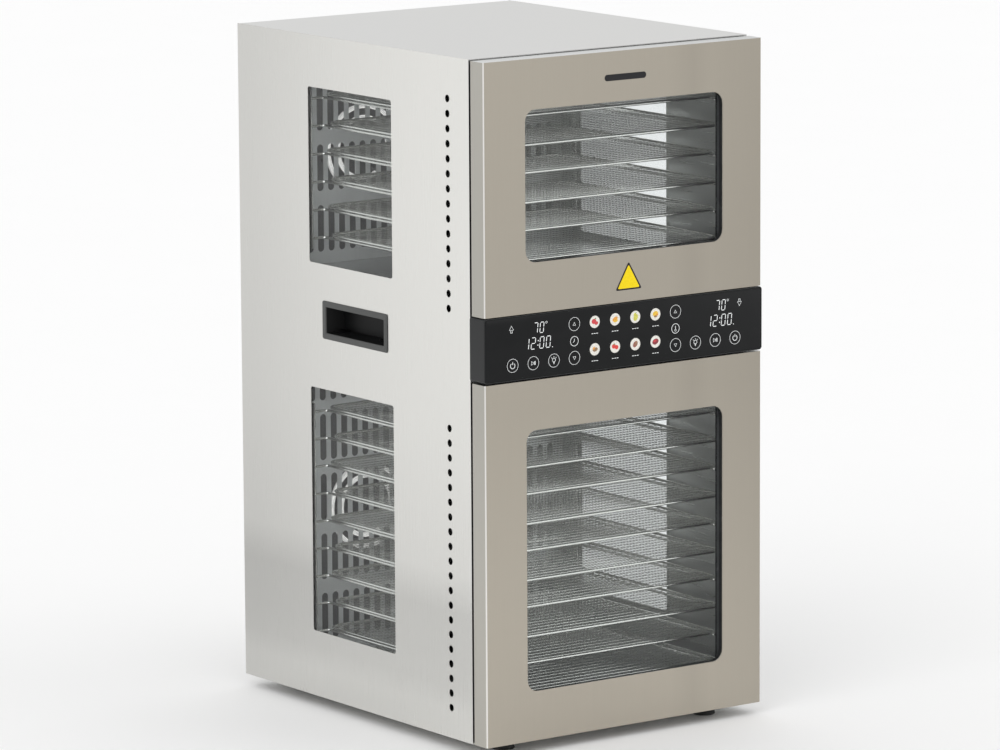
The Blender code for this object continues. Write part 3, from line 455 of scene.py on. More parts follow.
def turned(bm, profile, place, axis, steps):
    """A solid of revolution: a profile of (radius, height) spun about an axis through a place."""
    turn = Vector(axis).to_track_quat("Z", "Y").to_matrix().to_4x4()
    verts = [bm.verts.new((r, 0, h)) for r, h in profile]
    edges = [bm.edges.new(pair) for pair in zip(verts, verts[1:])]
    before = set(bm.verts) - set(verts)
    ops.spin(bm, geom=verts + edges, cent=(0, 0, 0), axis=(0, 0, 1), angle=2 * pi, steps=steps, use_merge=True)
    ops.remove_doubles(bm, verts=[v for v in bm.verts if v not in before], dist=1e-6)
    ops.transform(bm, matrix=Matrix.Translation(place) @ turn, verts=[v for v in bm.verts if v not in before])


def face_outward(bm):
    """Turns the faces of every closed shell outward, by the sign of its volume."""
    ops.recalc_face_normals(bm, faces=bm.faces)
    left = set(bm.faces)
    while left:
        todo, shell = [left.pop()], []
        while todo:
            shell.append(todo.pop())
            fresh = {f for edge in shell[-1].edges for f in edge.link_faces} & left
            left -= fresh
            todo.extend(fresh)
        here, volume = shell[0].verts[0].co.copy(), 0.0
        for part in shell:
            a, *others = [vert.co - here for vert in part.verts]
            volume += sum(a.dot(b.cross(c)) for b, c in zip(others, others[1:]))
        if volume < 0:
            ops.reverse_faces(bm, faces=shell)


def to_mesh(name, bm):
    mesh = bpy.data.meshes.new(name)
    bm.to_mesh(mesh)
    bm.free()
    return mesh


def place_piece(name, bm, *rest):
    """Stores a bmesh as a finished piece, with its faces outward."""
    face_outward(bm)
    place_mesh(name, to_mesh(name, bm), *rest)


def place_mesh(name, mesh, slot, finishes, replaces, angle, body="cabinet"):
    """Stores a mesh as a finished piece that rides on a body; edges past the angle stay sharp."""
    piece = bpy.data.objects.new(name, mesh)
    bpy.context.scene.collection.objects.link(piece)
    for finish in finishes:
        mesh.materials.append(FINISHES[finish] if isinstance(finish, str) else finish)
    mesh.shade_smooth()
    mesh.set_sharp_from_angle(angle=radians(angle))
    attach(piece, body)
    if replaces:
        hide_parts(*replaces)


def dress(finish, *names):
    """Gives CAD nodes a finish."""
    for name in names:
        slots = NODES[name].material_slots
        if not slots:
            raise RuntimeError(f"{name} has no material slot")
        for slot in slots:
            slot.material = FINISHES[finish]


def flat_box(node, axes, margin=0.0):
    """A node's box seen along one axis, as low and high corners."""
    low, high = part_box(node)
    return grown(((low[axes[0]], low[axes[1]]), (high[axes[0]], high[axes[1]])), margin)


# Operators


class DEHYDRATOR_OT_finishes(bpy.types.Operator):
    """Mixes every steel, plastic, rubber and glass finish"""

    bl_idname = "dehydrator.finishes"
    bl_label = "Finishes"

    def execute(self, context):
        make_finishes()
        dress("cabinet_steel", "base_plate")
        dress("top_steel", "top_panel")
        dress("liner_steel_painted_shade", "upper_liner", "lower_liner")
        dress("mount_steel", "upper_fan_mount", "lower_fan_mount")
        dress("glass", *(f"{zone}_{part}" for zone in ZONES for part in ("left_window", "right_window", "door_glass")))
        dress("door_steel", "upper_door_skin", "lower_door_skin")
        dress("door_frame", "upper_door_frame", "lower_door_frame")
        return {"FINISHED"}


class DEHYDRATOR_OT_side_panels(bpy.types.Operator):
    """Builds the two brushed side panels with round vents and rounded windows"""

    bl_idname = "dehydrator.side_panels"
    bl_label = "Side panels"

    def execute(self, context):
        steel = sizes("steel")
        for side, word in SIDES:
            name = f"{word}_side_panel"
            low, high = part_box(name)
            outlines = [((low.y, low.z), (high.y, high.z), SHARP, 1)]
            for zone in ZONES:
                outlines.append((*flat_box(f"{zone}_{word}_window", (1, 2), -0.006), 0.0035, 6))
            outlines.append((*flat_box(f"{word}_carry_handle", (1, 2), -0.0059), SHARP, 1))
            y, r = low.y + steel.vent_setback, steel.vent_radius
            heights = [high.z - steel.vent_from_top - i * steel.vent_pitch for i in range(steel.upper_vents)]
            heights += [low.z + steel.vent_from_base + i * steel.vent_pitch for i in range(steel.lower_vents)]
            outlines += [((y - r, z - r), (y + r, z + r), r, 6) for z in heights]
            bm = bmesh.new()
            face = low.x if side < 0 else high.x
            depth = (high.x - low.x) * -side
            pierced_sheet(bm, outlines, depth, Matrix.Translation((face, 0, 0)) @ SIDE, steel.edge_roll)
            place_piece(f"{word}_side_skin", bm, "cabinet_steel", ("cabinet_steel",), (name,), 12)
        return {"FINISHED"}


class DEHYDRATOR_OT_carry_handles(bpy.types.Operator):
    """Builds the recessed grips with their ribbed cups"""

    bl_idname = "dehydrator.carry_handles"
    bl_label = "Carry handles"

    def execute(self, context):
        for side, word in SIDES:
            low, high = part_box(f"{word}_carry_handle")
            rim = flat_box(f"{word}_carry_handle", (1, 2))
            face = high.x if side > 0 else low.x
            floor = low.x if side > 0 else high.x
            panel = face - side * 0.0010
            mouth = grown(rim, -0.0080)
            deep = grown(mouth, (-0.006, -0.003))
            wall, ribs = 0.0018, 4
            bm = bmesh.new()
            stack(bm, stations(deep, (-0.0003, 0.0012, floor + side * wall),
                               (0, 0.0015, floor + side * (wall + 0.0006)))
                  + stations(mouth, (0, 0.0012, face - side * 0.0012), (0.0004, 0.0014, face - side * 0.0004),
                             (0.0010, 0.0016, face))
                  + stations(rim, (-0.0008, 0.0026, face), (-0.0002, 0.0030, face - side * 0.0003),
                             (0, 0.0030, face - side * 0.0008), (0, 0.0030, panel))
                  + [(grown(mouth, wall), 0.0012, panel), (grown(deep, wall - 0.0004), 0.0015, floor)], SIDE)
            x0, x1 = sorted((floor + side * (wall - 0.0002), floor + side * 0.017))
            z = deep[0][1]
            for start, way in ((deep[0][0], 1), (deep[1][0], -1)):
                for i in range(ribs):
                    y = start + way * (0.004 + i * 0.0035)
                    block(bm, (x0, y - 0.0004, z - 0.0002), (x1, y + 0.0004, z + 0.0014), 0.0001)
            # Faces more than 1 mm into the recess take the near-black finish as painted shade.
            for part in bm.faces:
                part.material_index = int(abs(part.calc_center_median().x - face) > 0.0010)
            place_piece(f"{word}_grip", bm, "handle_plastic", ("handle", "handle_recess_painted_shade"),
                        (f"{word}_carry_handle",), 28)
        return {"FINISHED"}


class DEHYDRATOR_OT_feet(bpy.types.Operator):
    """Turns the four rubber feet"""

    bl_idname = "dehydrator.feet"
    bl_label = "Feet"

    def execute(self, context):
        for end in ("front", "rear"):
            for _, word in SIDES:
                name = f"{end}_{word}_foot"
                low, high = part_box(name)
                r, h = (high.y - low.y) / 2, high.z
                bm = bmesh.new()
                turned(bm, [(0, 0), (r * 0.55, 0), (r * 0.60, 0.0008), (r * 0.72, 0.0008), (r * 0.76, 0), (r * 0.95, 0),
                            (r, 0.0008), (r * 0.97, 0.003), (r * 0.82, h - 0.0006), (r * 0.78, h), (0, h)],
                       ((low.x + high.x) / 2, (low.y + high.y) / 2, 0), (0, 0, 1), 40)
                place_piece(f"{end}_{word}_rubber_foot", bm, "foot_rubber", ("rubber",), (name,), 40)
        return {"FINISHED"}


def slot_outlines(node, chamber, first):
    """The rounded air slots of a duct wall."""
    (x0, z0), (x1, z1) = flat_box(node, (0, 2))
    columns = int((x1 - x0 - 0.020 - chamber.slot_width) / chamber.slot_pitch) + 1
    half = chamber.slot_width / 2
    row, found = z0 - 0.0003 + first, []
    while row + chamber.slot_length < z1 - 0.0047:
        for i in range(columns):
            x = (i - (columns - 1) / 2) * chamber.slot_pitch
            found.append(((x - half, row), (x + half, row + chamber.slot_length), half - 0.00001, 4))
        row += chamber.slot_row
    return found


class DEHYDRATOR_OT_duct_walls(bpy.types.Operator):
    """Builds the slotted sheets at the back of the chambers"""

    bl_idname = "dehydrator.duct_walls"
    bl_label = "Duct walls"

    def execute(self, context):
        chamber = sizes("chamber")
        for zone in ZONES:
            name = f"{zone}_duct_wall"
            low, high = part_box(name)
            bm = bmesh.new()
            outlines = [((low.x, low.z), (high.x, high.z), SHARP, 1)] + slot_outlines(name, chamber, FIRST_SLOT[zone])
            pierced_sheet(bm, outlines, high.y - low.y, Matrix.Translation((0, low.y, 0)) @ FRONT)
            place_piece(f"{zone}_slotted_wall", bm, "chamber_steel", ("duct_steel",), (name,), 12)
        return {"FINISHED"}


def tray_mesh(low, high, chamber):
    """A tray: a bent rim wire, and two layers of straight wires that cross inside it."""
    r, bend = chamber.rim_radius, chamber.rim_bend
    z = (low.z + high.z) / 2
    x0, x1, y0, y1 = low.x + r, high.x - r, low.y + r, high.y - r
    bm = bmesh.new()
    corner = ("bend", (0, 0, 1), bend, pi / 2, 8)
    runs = [("run", x1 - x0 - 2 * bend), corner, ("run", y1 - y0 - 2 * bend), corner] * 2
    bent_wire(bm, (x0 + bend, y0, z), (1, 0, 0), r, runs, 10, True)
    ops.remove_doubles(bm, verts=bm.verts, dist=1e-5)

    hx, hy = (x1 - x0) / 2, (y1 - y0) / 2
    cx, cy = (x0 + x1) / 2, (y0 + y1) / 2
    thin = chamber.mesh_radius
    for axis, half_length, half_width, level, pitch in (("Y", hx, hy, thin * 0.9, chamber.mesh_cross),
                                                        ("X", hy, hx, -thin * 0.9, chamber.mesh_pitch)):
        count = int(2 * half_width / pitch)
        for i in range(count):
            across = (i - (count - 1) / 2) * pitch
            past = max(abs(across) - (half_width - bend), 0.0)
            half = half_length - bend + (bend ** 2 - past ** 2) ** 0.5
            place = (cx, cy + across, z + level) if axis == "Y" else (cx + across, cy, z + level)
            ops.create_cone(bm, cap_ends=True, segments=6, radius1=thin, radius2=thin, depth=2 * half,
                            matrix=Matrix.Translation(place) @ Matrix.Rotation(pi / 2, 4, axis))
    ops.recalc_face_normals(bm, faces=bm.faces)
    return to_mesh("woven_tray", bm)


class DEHYDRATOR_OT_trays(bpy.types.Operator):
    """Bends and weaves the wire trays"""

    bl_idname = "dehydrator.trays"
    bl_label = "Trays"

    def execute(self, context):
        chamber = sizes("chamber")
        names = sorted(n for n in NODES if "_tray_" in n)
        low0, high0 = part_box(names[0])
        first = tray_mesh(low0, high0, chamber)
        for name in names:
            low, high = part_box(name)
            mesh = first.copy()
            mesh.transform(Matrix.Translation((low + high) / 2 - (low0 + high0) / 2))
            place_mesh(name.replace("_tray_", "_woven_tray_"), mesh, "tray_wire", ("wire",), (name,), 50)
        bpy.data.meshes.remove(first)
        return {"FINISHED"}


class DEHYDRATOR_OT_racks(bpy.types.Operator):
    """Bends the wire rails and their upright strips"""

    bl_idname = "dehydrator.racks"
    bl_label = "Racks"

    def execute(self, context):
        chamber = sizes("chamber")
        r, bend = chamber.rail_radius, chamber.rail_bend
        for zone in ZONES:
            heights = sorted((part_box(n)[0].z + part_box(n)[1].z) / 2 for n in NODES if n.startswith(f"{zone}_tray_"))
            for side, word in SIDES:
                name = f"{zone}_{word}_rack"
                low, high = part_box(name)
                wall = high.x if side > 0 else low.x
                rail = (low.x + r) if side > 0 else (high.x - r)
                y0, y1 = low.y + 0.004, high.y - 0.004
                bm = bmesh.new()
                for y in (y0, y1):
                    ends = sorted((wall, wall - side * 0.0018))
                    block(bm, (ends[0], y - 0.004, low.z), (ends[1], y + 0.004, high.z), 0.0004)
                inward = abs(wall - side * 0.001 - rail) - bend
                for z in heights:
                    bent_wire(bm, (wall - side * 0.001, y0, z - 0.0047), (-side, 0, 0), r,
                              [("run", inward), ("bend", (0, 0, -side), bend, pi / 2, 6),
                               ("run", y1 - y0 - 2 * bend), ("bend", (0, 0, -side), bend, pi / 2, 6),
                               ("run", inward)], 8)
                place_piece(f"{zone}_{word}_rails", bm, "rail_wire", ("wire",), (name,), 40)
        return {"FINISHED"}


class DEHYDRATOR_OT_heaters(bpy.types.Operator):
    """Bends the polished tube of each heater round in front of its two fans"""

    bl_idname = "dehydrator.heaters"
    bl_label = "Heaters"

    def execute(self, context):
        chamber = sizes("chamber")
        for zone in ZONES:
            low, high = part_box(f"{zone}_heater")
            y, z = (low.y + high.y) / 2, (low.z + high.z) / 2
            big = chamber.heater_radius
            centre = high.x - chamber.heater_tube - big
            bm = bmesh.new()
            for side, start in ((-1, radians(-60)), (1, radians(200))):
                for radius in (big, chamber.heater_inner):
                    place = (side * centre + radius * cos(start), y, z + radius * sin(start))
                    bent_wire(bm, place, (sin(start), 0, -cos(start)), chamber.heater_tube,
                              [("bend", (0, 1, 0), radius, radians(320), 40)], 10)
            place_piece(f"{zone}_heater_tube", bm, "heater_steel", ("heater",), (f"{zone}_heater",), 60)
        return {"FINISHED"}


class DEHYDRATOR_OT_fans(bpy.types.Operator):
    """Moulds the four impellers with a domed hub and pitched blades"""

    bl_idname = "dehydrator.fans"
    bl_label = "Fans"

    def execute(self, context):
        for zone in ZONES:
            for _, word in SIDES:
                name = f"{zone}_{word}_fan"
                low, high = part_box(name)
                centre = (low + high) / 2
                hub, reach, deep = 0.015, (high.z - low.z) / 2 - 0.0008, high.y - low.y
                bm = bmesh.new()
                turned(bm, [(0, 0), (hub * 0.6, 0.0006), (hub * 0.9, 0.0030), (hub, 0.0065), (hub, deep * 0.95),
                            (hub * 0.96, deep), (0.0060, deep), (0.0058, deep * 0.55), (0, deep * 0.55)],
                       (centre.x, low.y, centre.z), (0, 1, 0), 36)
                for i in range(6):
                    before = set(bm.verts)
                    blade = ops.create_grid(bm, x_segments=6, y_segments=5, size=1)["verts"]
                    for vert in blade:
                        u, v = vert.co.x, (vert.co.y + 1) / 2
                        radial = hub - 0.001 + v * (reach - hub)
                        width = 0.0080 + 0.0035 * v
                        pitch = radians(38 - 14 * v)
                        curve = 0.0016 * (1 - u * u)
                        vert.co = (u * width * cos(pitch), u * width * sin(pitch) * 0.9 + curve, radial)
                    faces = list({f for v in blade for f in v.link_faces})
                    ops.solidify(bm, geom=faces, thickness=0.0013)
                    ops.transform(bm, verts=[v for v in bm.verts if v not in before],
                                  matrix=Matrix.Translation((centre.x, low.y + deep / 2 - 0.0005, centre.z))
                                  @ Matrix.Rotation(i * pi / 3, 4, "Y"))
                place_piece(f"{zone}_{word}_impeller_moulding", bm, "fan_plastic", ("fan",), (name,), 40,
                            f"{zone}_{word}_impeller")
        return {"FINISHED"}


class DEHYDRATOR_OT_door_fittings(bpy.types.Operator):
    """Builds the doors' soft gaskets and turned hinges"""

    bl_idname = "dehydrator.door_fittings"
    bl_label = "Door fittings"

    def execute(self, context):
        for zone in ZONES:
            name = f"{zone}_door_gasket"
            low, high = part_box(name)
            outer = flat_box(name, (0, 2))
            width, deep = 0.0065, high.y - low.y
            bm = bmesh.new()
            rounds = [(0.0, 0.0), (0.0, 0.35), (0.06, 0.70), (0.22, 0.93), (0.5, 1.0), (0.78, 0.93), (0.94, 0.70),
                      (1.0, 0.35), (1.0, 0.0)]
            stack(bm, [(grown(outer, -u * width), 0.010 - u * width, low.y + v * deep) for u, v in rounds], FRONT,
                  closed=True)
            place_piece(f"{zone}_door_seal", bm, "gasket_rubber", ("gasket",), (name,), 50, f"{zone}_door")
            name = f"{zone}_door_hinge"
            low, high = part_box(name)
            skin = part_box(f"{zone}_door_skin")
            x, y = skin[1].x - 0.008, (skin[0].y + skin[1].y) / 2
            bm = bmesh.new()
            pin0, pin1 = skin[0].z + 0.008, skin[1].z - 0.008
            turned(bm, [(0, 0), (0.0024, 0), (0.003, 0.0006), (0.003, pin1 - pin0 - 0.0006), (0.0024, pin1 - pin0),
                        (0, pin1 - pin0)], (x, y, pin0), (0, 0, 1), 24)
            for z in (skin[0].z + 0.012, skin[1].z - 0.012):
                block(bm, (x - 0.0035, y - 0.0045, z - 0.0015), (x + 0.0035, high.y - 0.0003, z + 0.0015), 0.0003)
                block(bm, (x - 0.0035, high.y - 0.0015, z - 0.010), (high.x, high.y, z + 0.010), 0.0003)
            place_piece(f"{zone}_hinge_pin", bm, "hinge_steel", ("hinge",), (name,), 40)
        return {"FINISHED"}


class DEHYDRATOR_OT_rear(bpy.types.Operator):
    """Builds the slotted back sheet, its screws and the power inlet"""

    bl_idname = "dehydrator.rear"
    bl_label = "Back"

    def execute(self, context):
        low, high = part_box("rear_panel")
        socket = flat_box("power_inlet", (0, 2))
        hole = grown(socket, (-0.0057, -0.0027))
        outlines = [((low.x, low.z), (high.x, high.z), SHARP, 1), (*hole, SHARP, 1)]
        for zone in ZONES:
            z0, z1 = (c.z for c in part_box(f"{zone}_duct_wall"))
            for i in range(6):
                z = (z0 + z1) / 2 + (i - 2.5) * 0.014
                outlines.append(((-0.100, z - 0.0025), (0.100, z + 0.0025), 0.00249, 4))
        bm = bmesh.new()
        pierced_sheet(bm, outlines, low.y - high.y, Matrix.Translation((0, high.y, 0)) @ FRONT, 0.0002)
        place_piece("back_sheet", bm, "cabinet_steel", ("cabinet_steel",), ("rear_panel",), 12)
        bm = bmesh.new()
        for x in (low.x + 0.010, 0.0, high.x - 0.010):
            for z in (low.z + 0.012, 0.25, 0.50, 0.70, high.z - 0.012):
                if x == 0.0 and 0.2 < z < 0.8:
                    continue
                turned(bm, [(0, 0.0006), (0.0008, 0.0009), (0.0012, 0.0017), (0.0030, 0.0014), (0.0036, 0.0004),
                            (0.0036, 0), (0, 0)], (x, high.y, z), (0, 1, 0), 20)
        place_piece("back_screws", bm, "hinge_steel", ("hinge",), (), 40)
        low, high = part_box("power_inlet")
        body = grown(socket, (-0.006, -0.003))
        y = high.y
        bm = bmesh.new()
        stack(bm, stations(grown(body, -0.002), (-0.0002, 0.0028, low.y + 0.002), (0, 0.0030, low.y + 0.0024),
                           (0, 0.0030, y - 0.0004), (0.0004, 0.0034, y))
              + stations(socket, (-0.0006, 0.0034, y), (0, 0.0040, y - 0.0006), (0, 0.0040, y - 0.0019))
              + stations(body, (0, 0.0014, y - 0.0019), (0, 0.0014, low.y)), FRONT)
        place_piece("inlet_moulding", bm, "inlet_plastic", ("frame",), ("power_inlet",), 30)
        bm = bmesh.new()
        x, z = (low.x + high.x) / 2, (low.z + high.z) / 2
        for dx, dz in ((-0.007, -0.002), (0.0, 0.003), (0.007, -0.002)):
            block(bm, (x + dx - 0.001, low.y + 0.0015, z + dz - 0.002),
                  (x + dx + 0.001, high.y - 0.003, z + dz + 0.002), 0.0003)
        place_piece("inlet_pins", bm, "hinge_steel", ("hinge",), (), 40)
        return {"FINISHED"}


# Touch panel marks, drawn flat in x and z and then given a thickness


def hoop(bm, x, z, radius, line, start=0.0, sweep=2 * pi, steps=32):
    """A ring or an arc of constant line width."""
    ends = [bm.verts.new((x + r * cos(start), z + r * sin(start), 0)) for r in (radius - line / 2, radius + line / 2)]
    ops.spin(bm, geom=[*ends, bm.edges.new(ends)], cent=(x, z, 0), axis=(0, 0, 1), angle=sweep, steps=steps,
             use_merge=sweep == 2 * pi)


def spread_out(x, z, lean, width, height, lift=0.0):
    return Matrix.Translation((x, z, lift)) @ Matrix.Rotation(lean, 4, "Z") @ Matrix.Diagonal((width, height, 1, 1))


def bar(bm, x, z, width, height, lean=0.0):
    """A straight bar."""
    ops.create_grid(bm, x_segments=1, y_segments=1, size=0.5, matrix=spread_out(x, z, lean, width, height))


def disc(bm, x, z, radius, index=0, sides=24, squash=1.0, lean=0.0, lift=0.0):
    """A filled disc, ellipse or polygon."""
    verts = ops.create_circle(bm, cap_ends=True, segments=sides, radius=radius,
                              matrix=spread_out(x, z, lean, 1, squash, lift))["verts"]
    for face in verts[0].link_faces:
        face.material_index = index


def arrow(bm, x, z, radius, line, lean):
    """An open triangle whose point leans from the right."""
    hoop(bm, x, z, radius, line, lean, steps=3)


SEGMENTS = {"0": "abcdef", "1": "bc", "2": "abged", "7": "abc"}


def digit(bm, x, z, height, line, value):
    """A seven-segment digit standing on z, slightly slanted."""
    half = height / 4
    width = height * 0.42
    places = {"a": (0, 2, 0), "g": (0, 1, 0), "d": (0, 0, 0), "f": (-0.5, 1.5, 1), "b": (0.5, 1.5, 1),
              "e": (-0.5, 0.5, 1), "c": (0.5, 0.5, 1)}
    for name in SEGMENTS[value]:
        across, level, upright = places[name]
        height_here = z + level * 2 * half
        shift = (height_here - z) * 0.10
        if upright:
            bar(bm, x + across * width + shift, height_here, line, 2 * half - line * 1.6, -0.10)
        else:
            bar(bm, x + shift, height_here, width - line * 1.4, line)


# Every key: its column from the left, its height down from the top, and its mark
KEYS = (*((column, 0.76, kind) for column, kind in enumerate(("power", "start", "lamp", "down"))),
        *((column, 0.76, kind) for column, kind in enumerate(("down", "lamp", "start", "power"), 8)),
        (3, 0.235, "up"), (8, 0.235, "up"), (3, 0.50, "clock"), (8, 0.50, "warmth"))


def key_marks(line):
    """The marks on the keys: each part is a shape, its place beside the key's middle, and its sizes."""
    whole = 2 * pi
    rays = [(bar, 0.0046 * cos(turn), 0.0007 + 0.0040 * sin(turn), 0.0014, line * 0.8, turn)
            for turn in (pi / 4, pi / 2, pi * 3 / 4)]
    return {
        "power": ((hoop, 0, -0.0003, 0.0034, line, radians(125), radians(290), 20), (bar, 0, 0.0026, line, 0.0034)),
        "start": ((arrow, -0.0016, 0, 0.0026, line, 0), (bar, 0.0014, 0, line, 0.0046), (bar, 0.0030, 0, line, 0.0046)),
        "lamp": ((hoop, 0, 0.0007, 0.0024, line * 0.8, 0, whole, 20), (bar, 0, -0.0026, 0.0022, line),
                 (bar, 0, -0.0038, 0.0014, line), *rays),
        "up": ((arrow, 0, -0.0004, 0.0024, line, pi / 2),),
        "down": ((arrow, 0, 0.0004, 0.0024, line, -pi / 2),),
        "clock": ((hoop, 0, 0, 0.0060, line * 0.8, 0, whole, 28), (bar, 0, 0.0014, line * 0.8, 0.0032),
                  (bar, -0.0010, -0.0006, 0.0028, line * 0.8, radians(50))),
        "warmth": ((hoop, 0, 0, 0.0060, line * 0.8, 0, whole, 28),
                   (hoop, 0, -0.0022, 0.0012, line * 0.7, 0, whole, 14), (bar, 0, 0.0010, line, 0.0046)),
    }


FOOD_COLOURS = {
    "cream": (0.80, 0.78, 0.72), "red": (0.62, 0.05, 0.06), "orange": (0.80, 0.36, 0.06), "pear": (0.62, 0.60, 0.10),
    "yellow": (0.80, 0.50, 0.04), "brown": (0.30, 0.18, 0.09), "tomato": (0.72, 0.05, 0.04), "meat": (0.30, 0.10, 0.07),
    "wine": (0.26, 0.03, 0.04), "green": (0.10, 0.26, 0.06)}

# The shapes on each food key, by its column and height: a colour, a place, a size, a squash and a lean
FOODS = {
    (4, 0.24): (("red", -0.0012, 0.0006, 0.0036, 0.9, 0), ("red", 0.0026, -0.0018, 0.0026, 0.8, 0.4),
                ("green", 0.0008, 0.0040, 0.0013, 0.5, 0.6)),
    (5, 0.24): (("orange", 0.0, 0.0004, 0.0044, 0.55, 0.5), ("yellow", 0.0010, -0.0020, 0.0034, 0.45, 0.3)),
    (6, 0.24): (("pear", 0.0006, -0.0008, 0.0044, 0.75, 1.1), ("pear", -0.0004, 0.0030, 0.0022, 0.9, 0.2),
                ("green", 0.0010, 0.0050, 0.0010, 0.5, 0.9)),
    (7, 0.24): (("yellow", 0.0, 0.0008, 0.0042, 0.8, 0.2), ("brown", 0.0, -0.0026, 0.0026, 0.5, 0),
                ("orange", 0.0026, -0.0004, 0.0018, 0.8, 0)),
    (4, 0.666): (("brown", 0.0006, -0.0004, 0.0040, 0.6, 0.3), ("orange", -0.0016, 0.0014, 0.0022, 0.6, 0.8)),
    (5, 0.666): (("tomato", -0.0020, 0.0006, 0.0030, 0.95, 0), ("tomato", 0.0022, -0.0008, 0.0028, 0.95, 0),
                 ("green", -0.0016, 0.0034, 0.0012, 0.6, 0.3)),
    (6, 0.666): (("meat", 0.0, 0.0, 0.0044, 0.7, 0.9), ("brown", 0.0010, 0.0010, 0.0028, 0.4, 0.9)),
    (7, 0.666): (("wine", 0.0, 0.0, 0.0050, 0.72, 0.3), ("red", -0.0010, 0.0010, 0.0026, 0.5, 0.3)),
}


def raise_marks(bm, face, thickness):
    """Gives flat marks a thickness and stands them on the panel's face."""
    made = ops.extrude_face_region(bm, geom=bm.faces[:])["geom"]
    ops.translate(bm, verts=only("BMVert", made), vec=(0, 0, -thickness))
    ops.transform(bm, matrix=Matrix.Translation((0, face, 0)) @ FRONT, verts=bm.verts)


class DEHYDRATOR_OT_touch_panel(bpy.types.Operator):
    """Builds the control housing, its glossy face and every printed mark"""

    bl_idname = "dehydrator.touch_panel"
    bl_label = "Touch panel"

    def execute(self, context):
        panel = sizes("panel")
        low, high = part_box("control_panel_housing")
        shell = flat_box("control_panel_housing", (0, 2))
        y = low.y
        bm = bmesh.new()
        stack(bm, stations(
            shell, (-0.0014, 0.0030, y + 0.0020), (-0.0014, 0.0030, y + 0.0002), (-0.0012, 0.0031, y),
            (-0.0006, 0.0036, y), (-0.0002, 0.0039, y + 0.0002), (0, 0.0040, y + 0.0006), (0, 0.0040, high.y),
            (-0.0025, 0.0020, high.y), (-0.0025, 0.0020, y + 0.004)), FRONT)
        place_piece("control_housing_shell", bm, "housing_plastic", ("housing",), ("control_panel_housing",), 25)
        low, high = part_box("control_panel_face")
        glass = flat_box("control_panel_face", (0, 2))
        bm = bmesh.new()
        corner, roll = 0.0028, 0.0003
        stack(bm, [(grown(glass, -roll), corner - roll, low.y),
                   (grown(glass, -roll * 0.3), corner - roll * 0.3, low.y + roll * 0.3),
                   (glass, corner, low.y + roll), (glass, corner, high.y)], FRONT)
        place_piece("touch_glass", bm, "touch_face", ("face",), ("control_panel_face",), 25)
        top, tall = high.z + 0.0017, high.z - low.z + 0.0034

        def spot(column, down):
            """The middle of a mark, by its column from the left and its height down from the top."""
            return (column - 5.5) * panel.column, top - down * tall

        line, r = panel.line, panel.button_radius
        bm = bmesh.new()
        marks = key_marks(line)
        for column, down, kind in KEYS:
            x, z = spot(column, down)
            if kind not in ("clock", "warmth"):
                hoop(bm, x, z, r, line * 0.6)
            for shape, across, rise, *rest in marks[kind]:
                shape(bm, x + across, z + rise, *rest)
        shell_width = shell[1][0] - shell[0][0]
        h = panel.digit_height
        for centre, beside, way in ((0.190, 0.096, 1), (0.845, 0.917, -1)):
            x = shell[0][0] + centre * shell_width
            z = top - 0.224 * tall - h * 0.45
            for i, value in enumerate("70"):
                digit(bm, x - 0.0042 + i * 0.0092, z, h * 0.92, line * 1.25, value)
            hoop(bm, x + 0.0125, z + h * 0.86, 0.0013, line * 0.6, steps=12)
            z = top - 0.456 * tall - h * 0.5
            for i, value in enumerate("1200"):
                digit(bm, x - 0.0180 + i * 0.0098 + (0.0032 if i > 1 else 0), z, h, line * 1.25, value)
            for level in (0.3, 0.7):
                disc(bm, x - 0.0010 + level * h * 0.10, z + level * h, 0.0008, sides=10)
            disc(bm, x + 0.0215, z, 0.0006, sides=10)
            x, z = shell[0][0] + beside * shell_width, top - 0.207 * tall
            arrow(bm, x, z + 0.0014 * way, 0.0036, line, pi / 2 * way)
            for side in (-1, 1):
                bar(bm, x + side * 0.0012, z - 0.0024 * way, line * 0.7, 0.0030)
            bar(bm, x, z - 0.0039 * way, 0.0030, line * 0.7)
        for column in range(4, 8):
            for down in (0.42, 0.844):
                x, z = spot(column, down)
                for i in range(3):
                    bar(bm, x + (i - 1) * 0.0036, z, 0.0026, 0.0007)
        raise_marks(bm, low.y + 0.00005, 0.00015)
        white = patterned("white_print", panel.mark_colour, 0.5, 2000, (0.96, 1.0), 2.0,
                          inputs={"Emission Color": (*panel.mark_colour, 1), "Emission Strength": 0.20})
        place_piece("printed_marks", bm, "touch_face", (white,), (), 30)

        keys = list(FOOD_COLOURS)
        paints = [patterned(f"print_{key}", tint, 0.45, 700, (0.75, 1.2)) for key, tint in FOOD_COLOURS.items()]
        bm = bmesh.new()
        for (column, down), blobs in FOODS.items():
            x, z = spot(column, down)
            disc(bm, x, z, 0.0077, keys.index("cream"), 32)
            for i, (key, dx, dz, size, squash, lean) in enumerate(blobs):
                disc(bm, x + dx, z + dz, size, keys.index(key), 18, squash, lean, -0.00003 * (i + 1))
        raise_marks(bm, low.y + 0.00004, 0.00008)
        place_piece("food_marks", bm, "touch_face", paints, (), 30)
        return {"FINISHED"}


